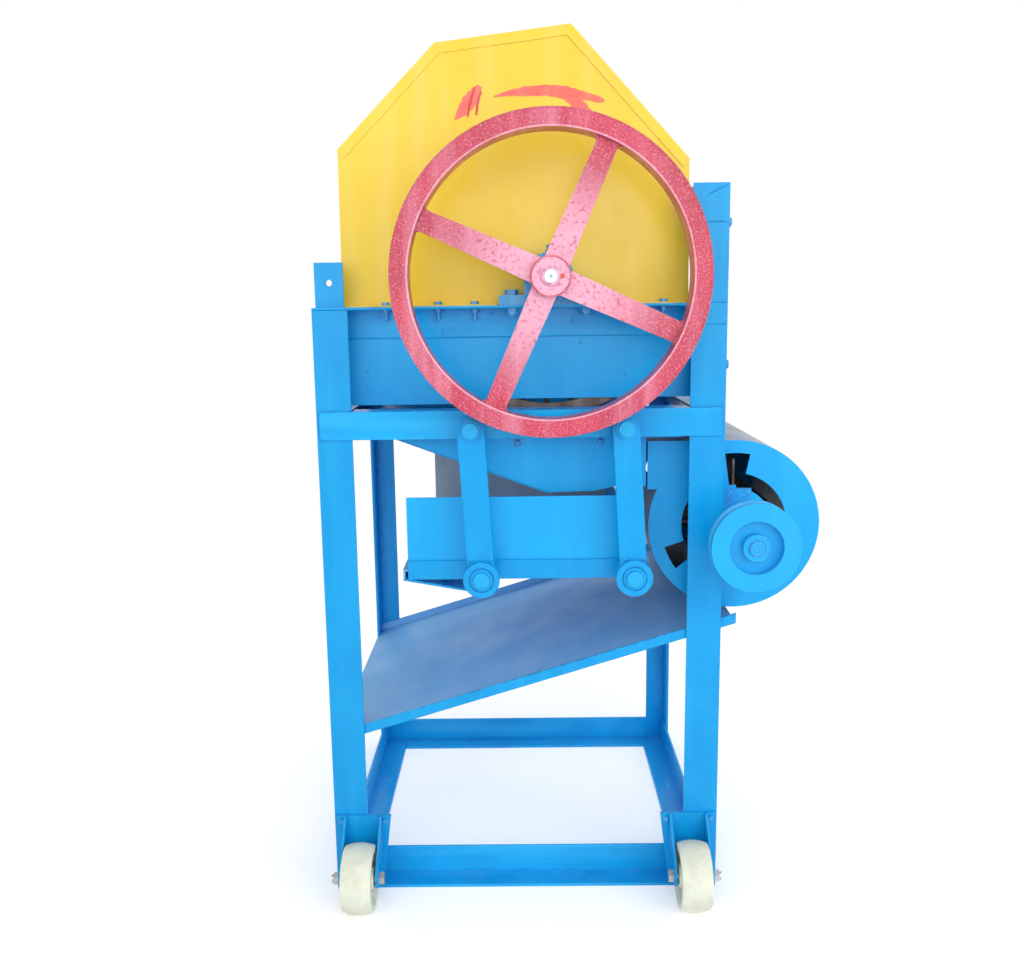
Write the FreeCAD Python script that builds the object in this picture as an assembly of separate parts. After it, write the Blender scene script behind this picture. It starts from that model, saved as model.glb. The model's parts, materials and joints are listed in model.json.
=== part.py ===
import FreeCAD, Part
import math
import os

"""Peanut picker: a fed drum threshes the pods off the vines over a rod concave, a swinging
sieve and a fan clean them, and a sloping chute lets them out at the left.

+X is to the right of the drive-wheel side, +Y goes away from it and +Z is up. Sizes are in
millimetres. The pieces are drawn about the middle of the frame's posts, and the finished part
is moved so that its origin is the middle of its footprint, on the floor.
"""

V = FreeCAD.Vector
FRONT_SIDE = -1
BACK_SIDE = 1
SIDES = (("front", FRONT_SIDE), ("back", BACK_SIDE))

# Frame
FRAME_WIDTH = 580.0
FRAME_DEPTH = 540.0
FEED_HEIGHT = 882.0
MID_RAIL_TOP = 736.0
RISER_TOP = 1043.0
POST_LEG = 50.0
BACK_POST_LEG = 40.0
POST_WALL = 5.0
BASE_LEG = 45.0
MID_LEG = 40.0
TOP_LEG = 45.0
RAIL_WALL = 4.0
TOE_RADIUS = 2.0

LEFT = -FRAME_WIDTH / 2
RIGHT = FRAME_WIDTH / 2
FRONT = -FRAME_DEPTH / 2
BACK = FRAME_DEPTH / 2
INNER_HALF_WIDTH = RIGHT - POST_WALL
INNER_HALF_DEPTH = BACK - POST_WALL
MID_RAIL_BOTTOM = MID_RAIL_TOP - MID_LEG
RAIL_FACE = BACK + RAIL_WALL
TOP_RAIL_SEAT = FEED_HEIGHT - RAIL_WALL

# Sheet metal
SHEET = 3.0
COVER_SHEET = 2.0
CASING_FACE = BACK - TOP_LEG
CASING_INSIDE = CASING_FACE - SHEET

# Picking drum, its shaft and its drive wheel
SHAFT_RADIUS = 12.5
BEARING_HEIGHT = 36.5
DRUM_X = 42.0
DRUM_Z = FEED_HEIGHT + BEARING_HEIGHT
TINE_TIP_RADIUS = 158.0
TINE_RADIUS = 4.0
TINE_COUNT = 7
TINE_PITCH = 52.0
BAR_COUNT = 4
BAR_RADIUS = 108.0
BAR_LEG = 30.0
BAR_WALL = 4.0
DISC_RADIUS = 112.0
DISC_THICKNESS = 6.0
DISC_HUB_RADIUS = 26.0
DISC_HUB_LENGTH = 30.0
DISC_WINDOW_RADIUS = 24.0
DRUM_HALF_LENGTH = 190.0
WHEEL_RADIUS = 213.0
WHEEL_FRONT = -348.0
WHEEL_WIDTH = 44.0
RIM_DEPTH = 24.0
GROOVE_DEPTH = 12.0
GROOVE_TOP = 17.0
GROOVE_BOTTOM = 10.0
SPOKE_COUNT = 4
SPOKE_TURN = 66.0
SPOKE_HUB_WIDTH = 36.0
SPOKE_RIM_WIDTH = 29.0
SPOKE_THICKNESS = 12.0
SPOKE_RIB = 9.0
SPOKE_FILLET = 10.0
WHEEL_HUB_RADIUS = 27.0
WHEEL_HUB_FRONT = -352.0
WHEEL_HUB_BACK = -284.0
SHAFT_FRONT = WHEEL_HUB_FRONT - 3.0
SHAFT_BACK = 312.0
SHAFT_END_RADIUS = 12.0
SHAFT_END_LENGTH = 42.0
RUNNING = 0.05

# Pillow-block bearings of the drum shaft
BLOCK_LENGTH = 140.0
BLOCK_WIDTH = 38.0
BLOCK_BOLT_SPACING = 105.0
BLOCK_FOOT = 14.0
BLOCK_BODY_RADIUS = 35.0
BLOCK_Y = BACK - TOP_LEG / 2
BEARING_OUTER = 26.0
BEARING_LENGTH = 34.0
BOLT_RADIUS = 5.0
BOLT_CLEARANCE = 0.5
NUT_SIZE = 17.0
NUT_HEIGHT = 8.0
WASHER_RADIUS = 11.0
WASHER_THICKNESS = 2.0

# Concave and casing
CONCAVE_RADIUS = 178.0
CONCAVE_ROD_RADIUS = 4.0
CONCAVE_ROD_COUNT = 13
CONCAVE_RIB = 18.0
CONCAVE_HALF_SPAN = 74.0
CASING_BOTTOM = MID_RAIL_TOP + 12.0
CASING_GAP = 5.0
CASING_STEP_X = -18.0
APRON_FALL = 10.0

# Hood
HOOD_FACE = 220.0
HOOD_LEFT = -254.0
HOOD_RIGHT = 243.0
HOOD_MOUTH_TOP = 1099.0
HOOD_LEFT_CREST = (-113.0, 1240.0)
HOOD_RIGHT_CREST = (76.0, 1262.0)
HOOD_EAVES = (243.0, 1080.0)
HOOD_FLANGE = 14.0
HOOD_FOOT = 30.0
SHAFT_SLOT = 22.0
FOOT_BOLT_X = (-190.0, -115.0, -63.0, 150.0, 205.0)
FOOT_BOLT_RADIUS = 3.0
FOOT_BOLT_LENGTH = 36.0

# Hopper under the concave
HOPPER_LEFT_TOP = (-276.0, 727.0)
HOPPER_MOUTH_LEFT = (42.0, 608.0)
HOPPER_MOUTH_RIGHT = (109.0, 610.0)
HOPPER_HEEL = (138.0, 616.0)
HOPPER_RIGHT_TOP = (176.0, 722.0)
HOPPER_RIGHT_FOOT = (126.0, 650.0)
HOPPER_FLANGE = 18.0

# Swinging sieve
LINK_LENGTH = 213.0
LINK_LEAN = 3.2
LINK_TOP_Z = MID_RAIL_BOTTOM + 15.0
LINK_TOP_X = (-70.0, 147.0)
LINK_WIDTH = 38.0
LINK_THICKNESS = 8.0
LINK_PLANE = BACK + 28.0
PIN_RADIUS = 8.0
TOP_BOSS_RADIUS = 15.0
TOP_BOSS_HALF = 9.0
HUB_RADIUS = 26.0
HUB_BORE = 16.0
HUB_GROOVE = 2.0
HUB_HALF = 13.0
CAP_RADIUS = 11.0
CAP_THICKNESS = 4.0
END_PLAY = 0.5
SIEVE_FACE = 255.0
SIEVE_LEFT = -168.0
SIEVE_RIGHT = 170.0
SIEVE_TOP = 608.0
SIEVE_FLOOR = 500.0
SIEVE_LIP = 8.0
RUNNER_LEG = 28.0
RUNNER_WALL = 3.0
RUNNER_BOTTOM = 486.0
SPOUT_RIGHT = -78.0
SPOUT_LOW = 468.0
SLOT_LENGTH = 40.0
SLOT_WIDTH = 14.0
SLOT_COLUMNS = 6
SLOT_ROWS = 16

# Chute
CHUTE_SLOPE = 16.8
CHUTE_LEFT = LEFT + 1.0
CHUTE_RIGHT = 313.0
CHUTE_LEFT_Z = 235.0
CHUTE_LIP = 15.0

# Fan
FAN_X = 316.0
FAN_Z = 555.0
FAN_RADIUS = 127.0
FAN_FRONT = FRONT + POST_LEG
FAN_BACK = BACK - BACK_POST_LEG
THROAT_X = 187.0
THROAT_TOP = FAN_Z + FAN_RADIUS
THROAT_BOTTOM = 612.0
INLET_TURNS = (88.0, 208.0, 328.0)
INLET_ARM = (60.0, 108.0)
INLET_ARM_HALF_ANGLE = 10.0
INLET_BAND = (56.0, 78.0)
INLET_BAND_ANGLE = 80.0
BLADE_RADIUS = 96.0
BLADE_ROOT = 30.0
BLADE_COUNT = 4
BLADE_THICKNESS = 3.0
FAN_SHAFT_RADIUS = 10.0
FAN_HUB_RADIUS = 20.0
FAN_HUB_LENGTH = 30.0
FAN_SPIDER_Y = (-150.0, 0.0, 160.0)
FAN_BEARING_RADIUS = 23.0
FAN_FLANGE_LENGTH = 112.0
FAN_FLANGE_WALL = 8.0
FAN_BEARING_DEPTH = 24.0
FAN_PULLEY_RADIUS = 61.0
FAN_PULLEY_WIDTH = 30.0
FAN_DISH_RADIUS = 37.0
FAN_DISH_DEPTH = 14.0
FAN_PULLEY_HUB = 18.5
FAN_PULLEY_FRONT = -371.0
FAN_SHAFT_FRONT = FAN_PULLEY_FRONT - 4.0

# Castors
CASTOR_X = RIGHT - 44.0
CASTOR_RADIUS = 50.0
CASTOR_WIDTH = 44.0
CASTOR_CLEARANCE = 3.0
BRACKET_WALL = 4.0
CASTOR_Y = FRONT - BRACKET_WALL - CASTOR_RADIUS - 2.0
BRACKET_TOP = 122.0
BRACKET_BOTTOM = 16.0
BRACKET_TOP_WIDTH = 84.0
AXLE_RADIUS = 6.0
CASTOR_HUB_RADIUS = 15.0
BRACKET_BOLT_Z = BRACKET_TOP - 9.0
BRACKET_BOLT_X = 34.0
BRACKET_BOLT_RADIUS = 2.5
BRACKET_BOLT_HEAD = 8.0

# Lugs for the feed table
LUG_WIDTH = 40.0
LUG_TOP = 944.0
LUG_WALL = 5.0
LUG_HOLE_RADIUS = 4.5
LUG_HOLE_Z = FEED_HEIGHT + 34.0

# Place of the origin
FOOTPRINT_X = (LEFT + FAN_X + FAN_RADIUS) / 2
FOOTPRINT_Y = (CASTOR_Y - CASTOR_RADIUS + SHAFT_BACK) / 2


def box(x0, x1, y0, y1, z0, z1):
    """A block between two corners, given in any order."""
    x0, x1 = sorted((x0, x1))
    y0, y1 = sorted((y0, y1))
    z0, z1 = sorted((z0, z1))
    return Part.makeBox(x1 - x0, y1 - y0, z1 - z0, V(x0, y0, z0))


def rod(radius, start, end):
    """A round bar from one point to another."""
    start, end = V(*start), V(*end)
    return Part.makeCylinder(radius, (end - start).Length, start, end - start)


def rod_y(radius, x, z, y0, y1):
    """A round bar along Y."""
    y0, y1 = sorted((y0, y1))
    return rod(radius, (x, y0, z), (x, y1, z))


def prism_y(points, y0, y1):
    """A plate or bar whose outline lies in XZ, from y0 to y1."""
    y0, y1 = sorted((y0, y1))
    wire = Part.makePolygon([V(x, y0, z) for x, z in points] + [V(points[0][0], y0, points[0][1])])
    return Part.Face(wire).extrude(V(0, y1 - y0, 0))


def prism_x(points, x0, x1):
    """A plate or bar whose outline lies in YZ, from x0 to x1."""
    wire = Part.makePolygon([V(x0, y, z) for y, z in points] + [V(x0, points[0][0], points[0][1])])
    return Part.Face(wire).extrude(V(x1 - x0, 0, 0))


def union(shapes):
    """One solid made of touching shapes."""
    first, *rest = shapes
    return first.multiFuse(rest).removeSplitter() if rest else first


def group(shapes):
    """Separate solids kept in one node."""
    return Part.makeCompound(shapes)


def turned(shape, degrees, x, z):
    """A copy turned about a Y axis through x, z; positive degrees go from +X towards +Z."""
    copy = shape.copy()
    copy.rotate(V(x, 0, z), V(0, -1, 0), degrees)
    return copy


def mirrored_y(shape):
    """The same shape on the other side of the machine's middle plane."""
    return shape.mirror(V(0, 0, 0), V(0, 1, 0))


def angle_profile(leg, wall):
    """Closed outline of an angle bar's section, in XY, with its corner at the origin and each
    leg's inner edge rounded."""
    toe = TOE_RADIUS
    bulge = toe * (1 - math.sqrt(0.5))
    edges = [
        Part.LineSegment(V(0, 0, 0), V(leg, 0, 0)),
        Part.LineSegment(V(leg, 0, 0), V(leg, wall - toe, 0)),
        Part.Arc(V(leg, wall - toe, 0), V(leg - bulge, wall - bulge, 0), V(leg - toe, wall, 0)),
        Part.LineSegment(V(leg - toe, wall, 0), V(wall, wall, 0)),
        Part.LineSegment(V(wall, wall, 0), V(wall, leg - toe, 0)),
        Part.Arc(V(wall, leg - toe, 0), V(wall - bulge, leg - bulge, 0), V(wall - toe, leg, 0)),
        Part.LineSegment(V(wall - toe, leg, 0), V(0, leg, 0)),
        Part.LineSegment(V(0, leg, 0), V(0, 0, 0)),
    ]
    return Part.Face(Part.Wire([e.toShape() for e in edges]))


def angle_bar(leg, wall, length, corner, along, first, second):
    """An angle bar that runs from corner along one direction, with its legs in two others."""
    bar = angle_profile(leg, wall).extrude(V(0, 0, length))
    along, first, second = V(*along), V(*first), V(*second)
    if first.cross(second).dot(along) < 0:
        first, second = second, first
    place = FreeCAD.Matrix(
        first.x, second.x, along.x, corner[0],
        first.y, second.y, along.y, corner[1],
        first.z, second.z, along.z, corner[2],
        0, 0, 0, 1,
    )
    bar.transformShape(place)
    return bar


def hexagon(size, height, start, direction):
    """A nut or bolt head of a given width across its flats."""
    radius = size / math.sqrt(3)
    points = [V(radius * math.cos(math.radians(60 * i)), radius * math.sin(math.radians(60 * i)), 0)
              for i in range(7)]
    nut = Part.Face(Part.makePolygon(points)).extrude(V(0, 0, height))
    nut.Placement = FreeCAD.Placement(V(*start), FreeCAD.Rotation(V(0, 0, 1), V(*direction)))
    return nut


def bolt(radius, head, under_head, direction, length, grip):
    """A hexagon bolt with its nut, as one solid: the head sits at under_head, the shank goes
    along direction and the nut closes the grip."""
    start, way = V(*under_head), V(*direction)
    shank = Part.makeCylinder(radius, length, start, way)
    back = start - way * (head * 0.45)
    return union([
        shank,
        hexagon(head, head * 0.45, back, way),
        hexagon(head, head * 0.5, start + way * grip, way),
    ])


def sheet_strip(points, thickness, y0, y1):
    """A folded sheet: its outer line in XZ, thickened to the right of the way it is drawn."""
    inner = offset_line(points, thickness)
    return prism_y(list(points) + inner[::-1], y0, y1)


def offset_line(points, distance):
    """The points of an open line moved sideways by distance, to the right of its direction."""
    moved = []
    for i, (x, z) in enumerate(points):
        normals = []
        for a, b in ((i - 1, i), (i, i + 1)):
            if a < 0 or b >= len(points):
                continue
            dx, dz = points[b][0] - points[a][0], points[b][1] - points[a][1]
            size = math.hypot(dx, dz)
            normals.append((dz / size, -dx / size))
        nx = sum(n[0] for n in normals)
        nz = sum(n[1] for n in normals)
        scale = 2 / (nx * nx + nz * nz) if len(normals) == 2 else 1
        moved.append((x + nx * scale * distance, z + nz * scale * distance))
    return moved


def posts():
    """Four corner posts; the two at the right go on up beside the outlet."""
    bolt_holes = [rod_y(BRACKET_BOLT_RADIUS, side * (CASTOR_X + BRACKET_BOLT_X), BRACKET_BOLT_Z,
                        FRONT, -INNER_HALF_DEPTH) for side in (-1, 1)]
    return {
        "front_left_post": angle_bar(POST_LEG, POST_WALL, TOP_RAIL_SEAT, (LEFT, FRONT, 0),
                                     (0, 0, 1), (1, 0, 0), (0, 1, 0)).cut(bolt_holes),
        "front_right_post": angle_bar(POST_LEG, POST_WALL, RISER_TOP, (RIGHT, FRONT, 0),
                                      (0, 0, 1), (-1, 0, 0), (0, 1, 0)).cut(bolt_holes),
        "back_left_post": angle_bar(BACK_POST_LEG, POST_WALL, TOP_RAIL_SEAT, (LEFT, BACK, 0),
                                    (0, 0, 1), (1, 0, 0), (0, -1, 0)),
        "back_right_post": angle_bar(BACK_POST_LEG, POST_WALL, RISER_TOP, (RIGHT, BACK, 0),
                                     (0, 0, 1), (-1, 0, 0), (0, -1, 0)),
    }


def base_rails():
    """The ring of angle bars on the floor."""
    inner_front = RIGHT - POST_LEG
    inner_back = RIGHT - BACK_POST_LEG
    side_length = 2 * INNER_HALF_DEPTH
    cope = BASE_LEG + POST_WALL
    back = angle_bar(BASE_LEG, RAIL_WALL, 2 * inner_back, (-inner_back, BACK, 0),
                     (1, 0, 0), (0, -1, 0), (0, 0, 1))
    rails = {
        "front_base_rail": angle_bar(BASE_LEG, RAIL_WALL, 2 * inner_front,
                                     (-inner_front, FRONT + BASE_LEG, 0),
                                     (1, 0, 0), (0, -1, 0), (0, 0, 1)),
        "back_base_rail": back.cut([
            box(side * (RIGHT - cope), side * RIGHT, BACK - BASE_LEG, INNER_HALF_DEPTH, 0, BASE_LEG)
            for side in (-1, 1)]),
    }
    rails["side_base_rails"] = group([
        angle_bar(BASE_LEG, RAIL_WALL, side_length, (side * INNER_HALF_WIDTH, -INNER_HALF_DEPTH, 0),
                  (0, 1, 0), (-side, 0, 0), (0, 0, 1)) for side in (-1, 1)])
    return rails


def mid_rails():
    """The rails that carry the links, lapped over the posts, and the two at the sides."""
    def lapped(side, post_leg):
        reach = min(RIGHT - post_leg, INNER_HALF_WIDTH - MID_LEG)
        face = box(-INNER_HALF_WIDTH, INNER_HALF_WIDTH, side * BACK, side * RAIL_FACE,
                   MID_RAIL_BOTTOM, MID_RAIL_TOP)
        ledge = box(-reach, reach, side * BACK, side * (RAIL_FACE - MID_LEG),
                    MID_RAIL_TOP - RAIL_WALL, MID_RAIL_TOP)
        return union([face, ledge])
    sides = [angle_bar(MID_LEG, RAIL_WALL, 2 * INNER_HALF_DEPTH,
                       (side * INNER_HALF_WIDTH, -INNER_HALF_DEPTH, MID_RAIL_TOP),
                       (0, 1, 0), (-side, 0, 0), (0, 0, -1)) for side in (-1, 1)]
    return {
        "front_mid_rail": lapped(FRONT_SIDE, POST_LEG),
        "back_mid_rail": lapped(BACK_SIDE, BACK_POST_LEG),
        "side_mid_rails": group(sides),
    }


def top_rails():
    """The rails that carry the bearings, their ledge turned outwards, with holes for the
    bearing and hood bolts, and the two at the sides."""
    rails = {}
    for name, side in SIDES:
        post_leg = POST_LEG if side == FRONT_SIDE else BACK_POST_LEG
        length = FRAME_WIDTH - post_leg
        rail = angle_bar(TOP_LEG, RAIL_WALL, length, (LEFT, side * (BACK - TOP_LEG), FEED_HEIGHT),
                         (1, 0, 0), (0, side, 0), (0, 0, -1))
        cope = box(LEFT, -INNER_HALF_WIDTH, side * (BACK - TOP_LEG), side * (BACK - TOP_LEG + RAIL_WALL),
                   FEED_HEIGHT - TOP_LEG, TOP_RAIL_SEAT)
        holes = [rod(BOLT_RADIUS + BOLT_CLEARANCE, (x, side * BLOCK_Y, FEED_HEIGHT - TOP_LEG / 3),
                     (x, side * BLOCK_Y, FEED_HEIGHT + TOP_LEG)) for x in block_bolt_places()]
        holes += [rod(FOOT_BOLT_RADIUS + BOLT_CLEARANCE,
                      (x, side * foot_bolt_y(), FEED_HEIGHT - TOP_LEG / 3),
                      (x, side * foot_bolt_y(), FEED_HEIGHT + TOP_LEG)) for x in FOOT_BOLT_X]
        rails[name + "_top_rail"] = rail.cut([cope] + holes)
    rails["side_top_rails"] = group([
        angle_bar(TOP_LEG, RAIL_WALL, 2 * (CASING_FACE - RAIL_WALL),
                  (side * INNER_HALF_WIDTH, -(CASING_FACE - RAIL_WALL), TOP_RAIL_SEAT),
                  (0, 1, 0), (-side, 0, 0), (0, 0, -1)) for side in (-1, 1)])
    return rails


def block_bolt_places():
    """X of the two bolts of a pillow block."""
    return (DRUM_X - BLOCK_BOLT_SPACING / 2, DRUM_X + BLOCK_BOLT_SPACING / 2)


def foot_bolt_y():
    """How far from the middle plane the bolts of the hood's feet stand."""
    return HOOD_FACE + HOOD_FOOT / 2 + SHEET


def feed_table_lugs():
    """Two drilled flats that stand on the top rails at the left and carry a feed table."""
    lugs = []
    x0 = LEFT + POST_WALL
    for _, side in SIDES:
        plate = box(x0, x0 + LUG_WIDTH, side * (BACK - LUG_WALL), side * (BACK - 2 * LUG_WALL),
                    FEED_HEIGHT, LUG_TOP)
        hole = rod_y(LUG_HOLE_RADIUS, x0 + LUG_WIDTH / 2, LUG_HOLE_Z, -BACK, BACK)
        lugs.append(plate.cut(hole))
    return {"feed_table_lugs": group(lugs)}


def casing():
    """The plates round the lower half of the drum and the aprons at its two openings."""
    half = INNER_HALF_WIDTH - RAIL_WALL
    outline = [(-half, MID_RAIL_TOP + CASING_GAP), (CASING_STEP_X, MID_RAIL_TOP + CASING_GAP),
               (CASING_STEP_X, CASING_BOTTOM), (half, CASING_BOTTOM), (half, TOP_RAIL_SEAT),
               (-half, TOP_RAIL_SEAT)]
    plates = [prism_y(outline, side * CASING_FACE, side * CASING_INSIDE) for _, side in SIDES]
    pieces = {"casing_plates": group(plates)}
    lip = concave_end(CONCAVE_RADIUS + CONCAVE_RIB)
    shelf = TOP_RAIL_SEAT - TOP_LEG / 3
    pieces["feed_apron"] = sheet_strip(
        [(-half, shelf), (2 * DRUM_X - lip[0], lip[1]), (2 * DRUM_X - lip[0], lip[1] - APRON_FALL)],
        SHEET, -CASING_INSIDE, CASING_INSIDE)
    pieces["outlet_apron"] = sheet_strip(
        [(lip[0], lip[1] - APRON_FALL), (lip[0], lip[1]), (half, shelf)],
        SHEET, -CASING_INSIDE, CASING_INSIDE)
    return pieces


def concave_end(radius):
    """Where the concave's arc ends at the right, at a given radius."""
    angle = math.radians(CONCAVE_HALF_SPAN)
    return (DRUM_X + radius * math.sin(angle), DRUM_Z - radius * math.cos(angle))


def concave():
    """Rods along the drum in an arc, carried by a bent rib at each end."""
    def arc_rib(side):
        points = []
        for radius, ways in ((CONCAVE_RADIUS, (-1, 0, 1)), (CONCAVE_RADIUS + CONCAVE_RIB, (1, 0, -1))):
            for way in ways:
                a = math.radians(CONCAVE_HALF_SPAN * way)
                points.append(V(DRUM_X + radius * math.sin(a), side * CASING_INSIDE,
                                DRUM_Z - radius * math.cos(a)))
        wire = Part.Wire([
            Part.Arc(points[0], points[1], points[2]).toShape(),
            Part.LineSegment(points[2], points[3]).toShape(),
            Part.Arc(points[3], points[4], points[5]).toShape(),
            Part.LineSegment(points[5], points[0]).toShape(),
        ])
        return Part.Face(wire).extrude(V(0, -side * 2 * SHEET, 0))
    radius = CONCAVE_RADIUS + CONCAVE_RIB / 2
    rods = []
    inside = CASING_INSIDE - 2 * SHEET
    for i in range(CONCAVE_ROD_COUNT):
        share = (i + 0.5) / CONCAVE_ROD_COUNT
        a = math.radians(CONCAVE_HALF_SPAN * (2 * share - 1))
        rods.append(rod_y(CONCAVE_ROD_RADIUS, DRUM_X + radius * math.sin(a),
                          DRUM_Z - radius * math.cos(a), -inside, inside))
    return {
        "concave_ribs": group([arc_rib(side) for _, side in SIDES]),
        "concave_rods": group(rods),
    }


def hood():
    """The cover over the drum: two end plates with a foot on the rail, and one sheet bent
    over them with its edge folded down on their faces."""
    line = [(HOOD_LEFT, HOOD_MOUTH_TOP), HOOD_LEFT_CREST, HOOD_RIGHT_CREST, HOOD_EAVES]
    inner = offset_line(line, COVER_SHEET)
    plate_outline = [(HOOD_LEFT, FEED_HEIGHT), inner[0], inner[1], inner[2], inner[3],
                     (HOOD_RIGHT, FEED_HEIGHT)]
    pieces = {}
    for name, side in SIDES:
        face, inside = side * (HOOD_FACE + COVER_SHEET), side * HOOD_FACE
        plate = prism_y(plate_outline, face, inside)
        foot = box(HOOD_LEFT, HOOD_RIGHT, inside, side * (HOOD_FACE + HOOD_FOOT),
                   FEED_HEIGHT, FEED_HEIGHT + COVER_SHEET)
        slot = union([
            rod_y(SHAFT_SLOT, DRUM_X, DRUM_Z, -FRAME_DEPTH, FRAME_DEPTH),
            box(DRUM_X - SHAFT_SLOT, DRUM_X + SHAFT_SLOT, -FRAME_DEPTH, FRAME_DEPTH,
                FEED_HEIGHT - SHEET, DRUM_Z),
        ])
        notch = box(DRUM_X - BLOCK_LENGTH / 2 - SHEET, DRUM_X + BLOCK_LENGTH / 2 + SHEET,
                    side * (HOOD_FACE + COVER_SHEET), side * BACK, FEED_HEIGHT - SHEET, DRUM_Z)
        holes = [rod(FOOT_BOLT_RADIUS + BOLT_CLEARANCE, (x, side * foot_bolt_y(), FEED_HEIGHT - SHEET),
                     (x, side * foot_bolt_y(), DRUM_Z)) for x in FOOT_BOLT_X]
        pieces["hood_end_" + name] = union([plate, foot]).cut([slot, notch] + holes)
    reach = HOOD_FACE + 2 * COVER_SHEET
    cover = sheet_strip(line, COVER_SHEET, -reach, reach)
    folds = [prism_y(line + offset_line(line, HOOD_FLANGE)[::-1], side * (HOOD_FACE + COVER_SHEET),
                     side * reach) for _, side in SIDES]
    pieces["hood_cover"] = union([cover] + folds)
    return pieces


def outlet_head():
    """The flat cover between the hood and the tops of the right posts, with its edge folded
    down over the outlet."""
    inside = INNER_HALF_WIDTH - COVER_SHEET
    line = [(HOOD_EAVES[0] + 2 * COVER_SHEET, RISER_TOP - COVER_SHEET), (inside, RISER_TOP - COVER_SHEET),
            (inside, RISER_TOP - HOOD_FOOT)]
    return {"outlet_head": sheet_strip(line, -COVER_SHEET, -INNER_HALF_DEPTH, INNER_HALF_DEPTH)}


def hopper():
    """The funnel under the concave: two side plates hung from the mid rails and two slopes."""
    pieces = {}
    plate_top = MID_RAIL_TOP - RAIL_WALL
    duct_top = THROAT_TOP + 2 * SHEET
    outline = [
        (-(RIGHT - POST_LEG), plate_top), (RIGHT - POST_LEG, plate_top), (RIGHT - POST_LEG, duct_top),
        (THROAT_X - SHEET, duct_top), (THROAT_X - SHEET, HOPPER_HEEL[1]), HOPPER_HEEL,
        HOPPER_MOUTH_RIGHT, HOPPER_MOUTH_LEFT,
        (-(RIGHT - POST_LEG), hopper_slope_z(-(RIGHT - POST_LEG)))]
    plates = []
    for _, side in SIDES:
        plate = prism_y(outline, side * CASING_FACE, side * CASING_INSIDE)
        reach = RIGHT - POST_LEG
        flange = box(-reach, reach, side * CASING_FACE, side * (CASING_FACE + HOPPER_FLANGE),
                     plate_top - SHEET, plate_top)
        plates.append(union([plate, flange]))
    pieces["hopper_plates"] = group(plates)
    inside = CASING_INSIDE
    left = sheet_strip([HOPPER_LEFT_TOP, HOPPER_MOUTH_LEFT], SHEET, -inside, inside)
    right = sheet_strip([HOPPER_RIGHT_FOOT, HOPPER_RIGHT_TOP], SHEET, -inside, inside)
    pieces["hopper_slope_left"] = left
    pieces["hopper_slope_right"] = right
    return pieces


def hopper_slope_z(x):
    """Height of the left slope's upper face at x."""
    (x0, z0), (x1, z1) = HOPPER_LEFT_TOP, HOPPER_MOUTH_LEFT
    return z0 + (z1 - z0) * (x - x0) / (x1 - x0)


def link_foot(x):
    """Lower pivot of the link whose upper pivot is at x."""
    lean = math.radians(LINK_LEAN)
    return (x + LINK_LENGTH * math.sin(lean), LINK_TOP_Z - LINK_LENGTH * math.cos(lean))


def link(side, x):
    """A flat bar with a boss at its top and a big bushed hub at its foot."""
    foot_x, foot_z = link_foot(x)
    plane = side * LINK_PLANE
    bar = box(-LINK_WIDTH / 2, LINK_WIDTH / 2, plane - LINK_THICKNESS / 2, plane + LINK_THICKNESS / 2,
              -LINK_LENGTH, 0)
    bar.translate(V(x, 0, LINK_TOP_Z))
    bar = turned(bar, LINK_LEAN, x, LINK_TOP_Z)
    head = rod_y(LINK_WIDTH / 2, x, LINK_TOP_Z, plane - LINK_THICKNESS / 2, plane + LINK_THICKNESS / 2)
    boss = rod_y(TOP_BOSS_RADIUS, x, LINK_TOP_Z, plane - TOP_BOSS_HALF, plane + TOP_BOSS_HALF)
    hub = rod_y(HUB_RADIUS, foot_x, foot_z, plane - HUB_HALF, plane + HUB_HALF)
    groove = rod_y(HUB_BORE + HUB_GROOVE, foot_x, foot_z, side * (LINK_PLANE + HUB_HALF - HUB_GROOVE),
                   side * (LINK_PLANE + HUB_HALF)).cut(
        rod_y(HUB_BORE, foot_x, foot_z, -RAIL_FACE - FRAME_DEPTH, RAIL_FACE + FRAME_DEPTH))
    return union([bar, head, boss, hub]).cut([
        groove,
        rod_y(PIN_RADIUS + RUNNING, x, LINK_TOP_Z, plane - HUB_HALF, plane + HUB_HALF),
        rod_y(PIN_RADIUS + RUNNING, foot_x, foot_z, plane - HUB_HALF, plane + HUB_HALF),
    ])


def links():
    """Four links, and the pins on the mid rails that they hang from."""
    pieces = {}
    pins = []
    for name, side in SIDES:
        for hand, x in zip(("left", "right"), LINK_TOP_X):
            pieces["link_%s_%s" % (name, hand)] = link(side, x)
            pins.append(capped_pin(side, x, LINK_TOP_Z, RAIL_FACE, TOP_BOSS_HALF))
    pieces["link_pivot_pins"] = group(pins)
    return pieces


def capped_pin(side, x, z, seat, boss_half):
    """A pin that stands out from a face at seat, with a washer outside the boss it carries."""
    boss_end = LINK_PLANE + boss_half + END_PLAY
    shank = rod_y(PIN_RADIUS, x, z, side * seat, side * boss_end)
    cap = rod_y(CAP_RADIUS, x, z, side * boss_end, side * (boss_end + CAP_THICKNESS))
    return union([shank, cap])


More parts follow.
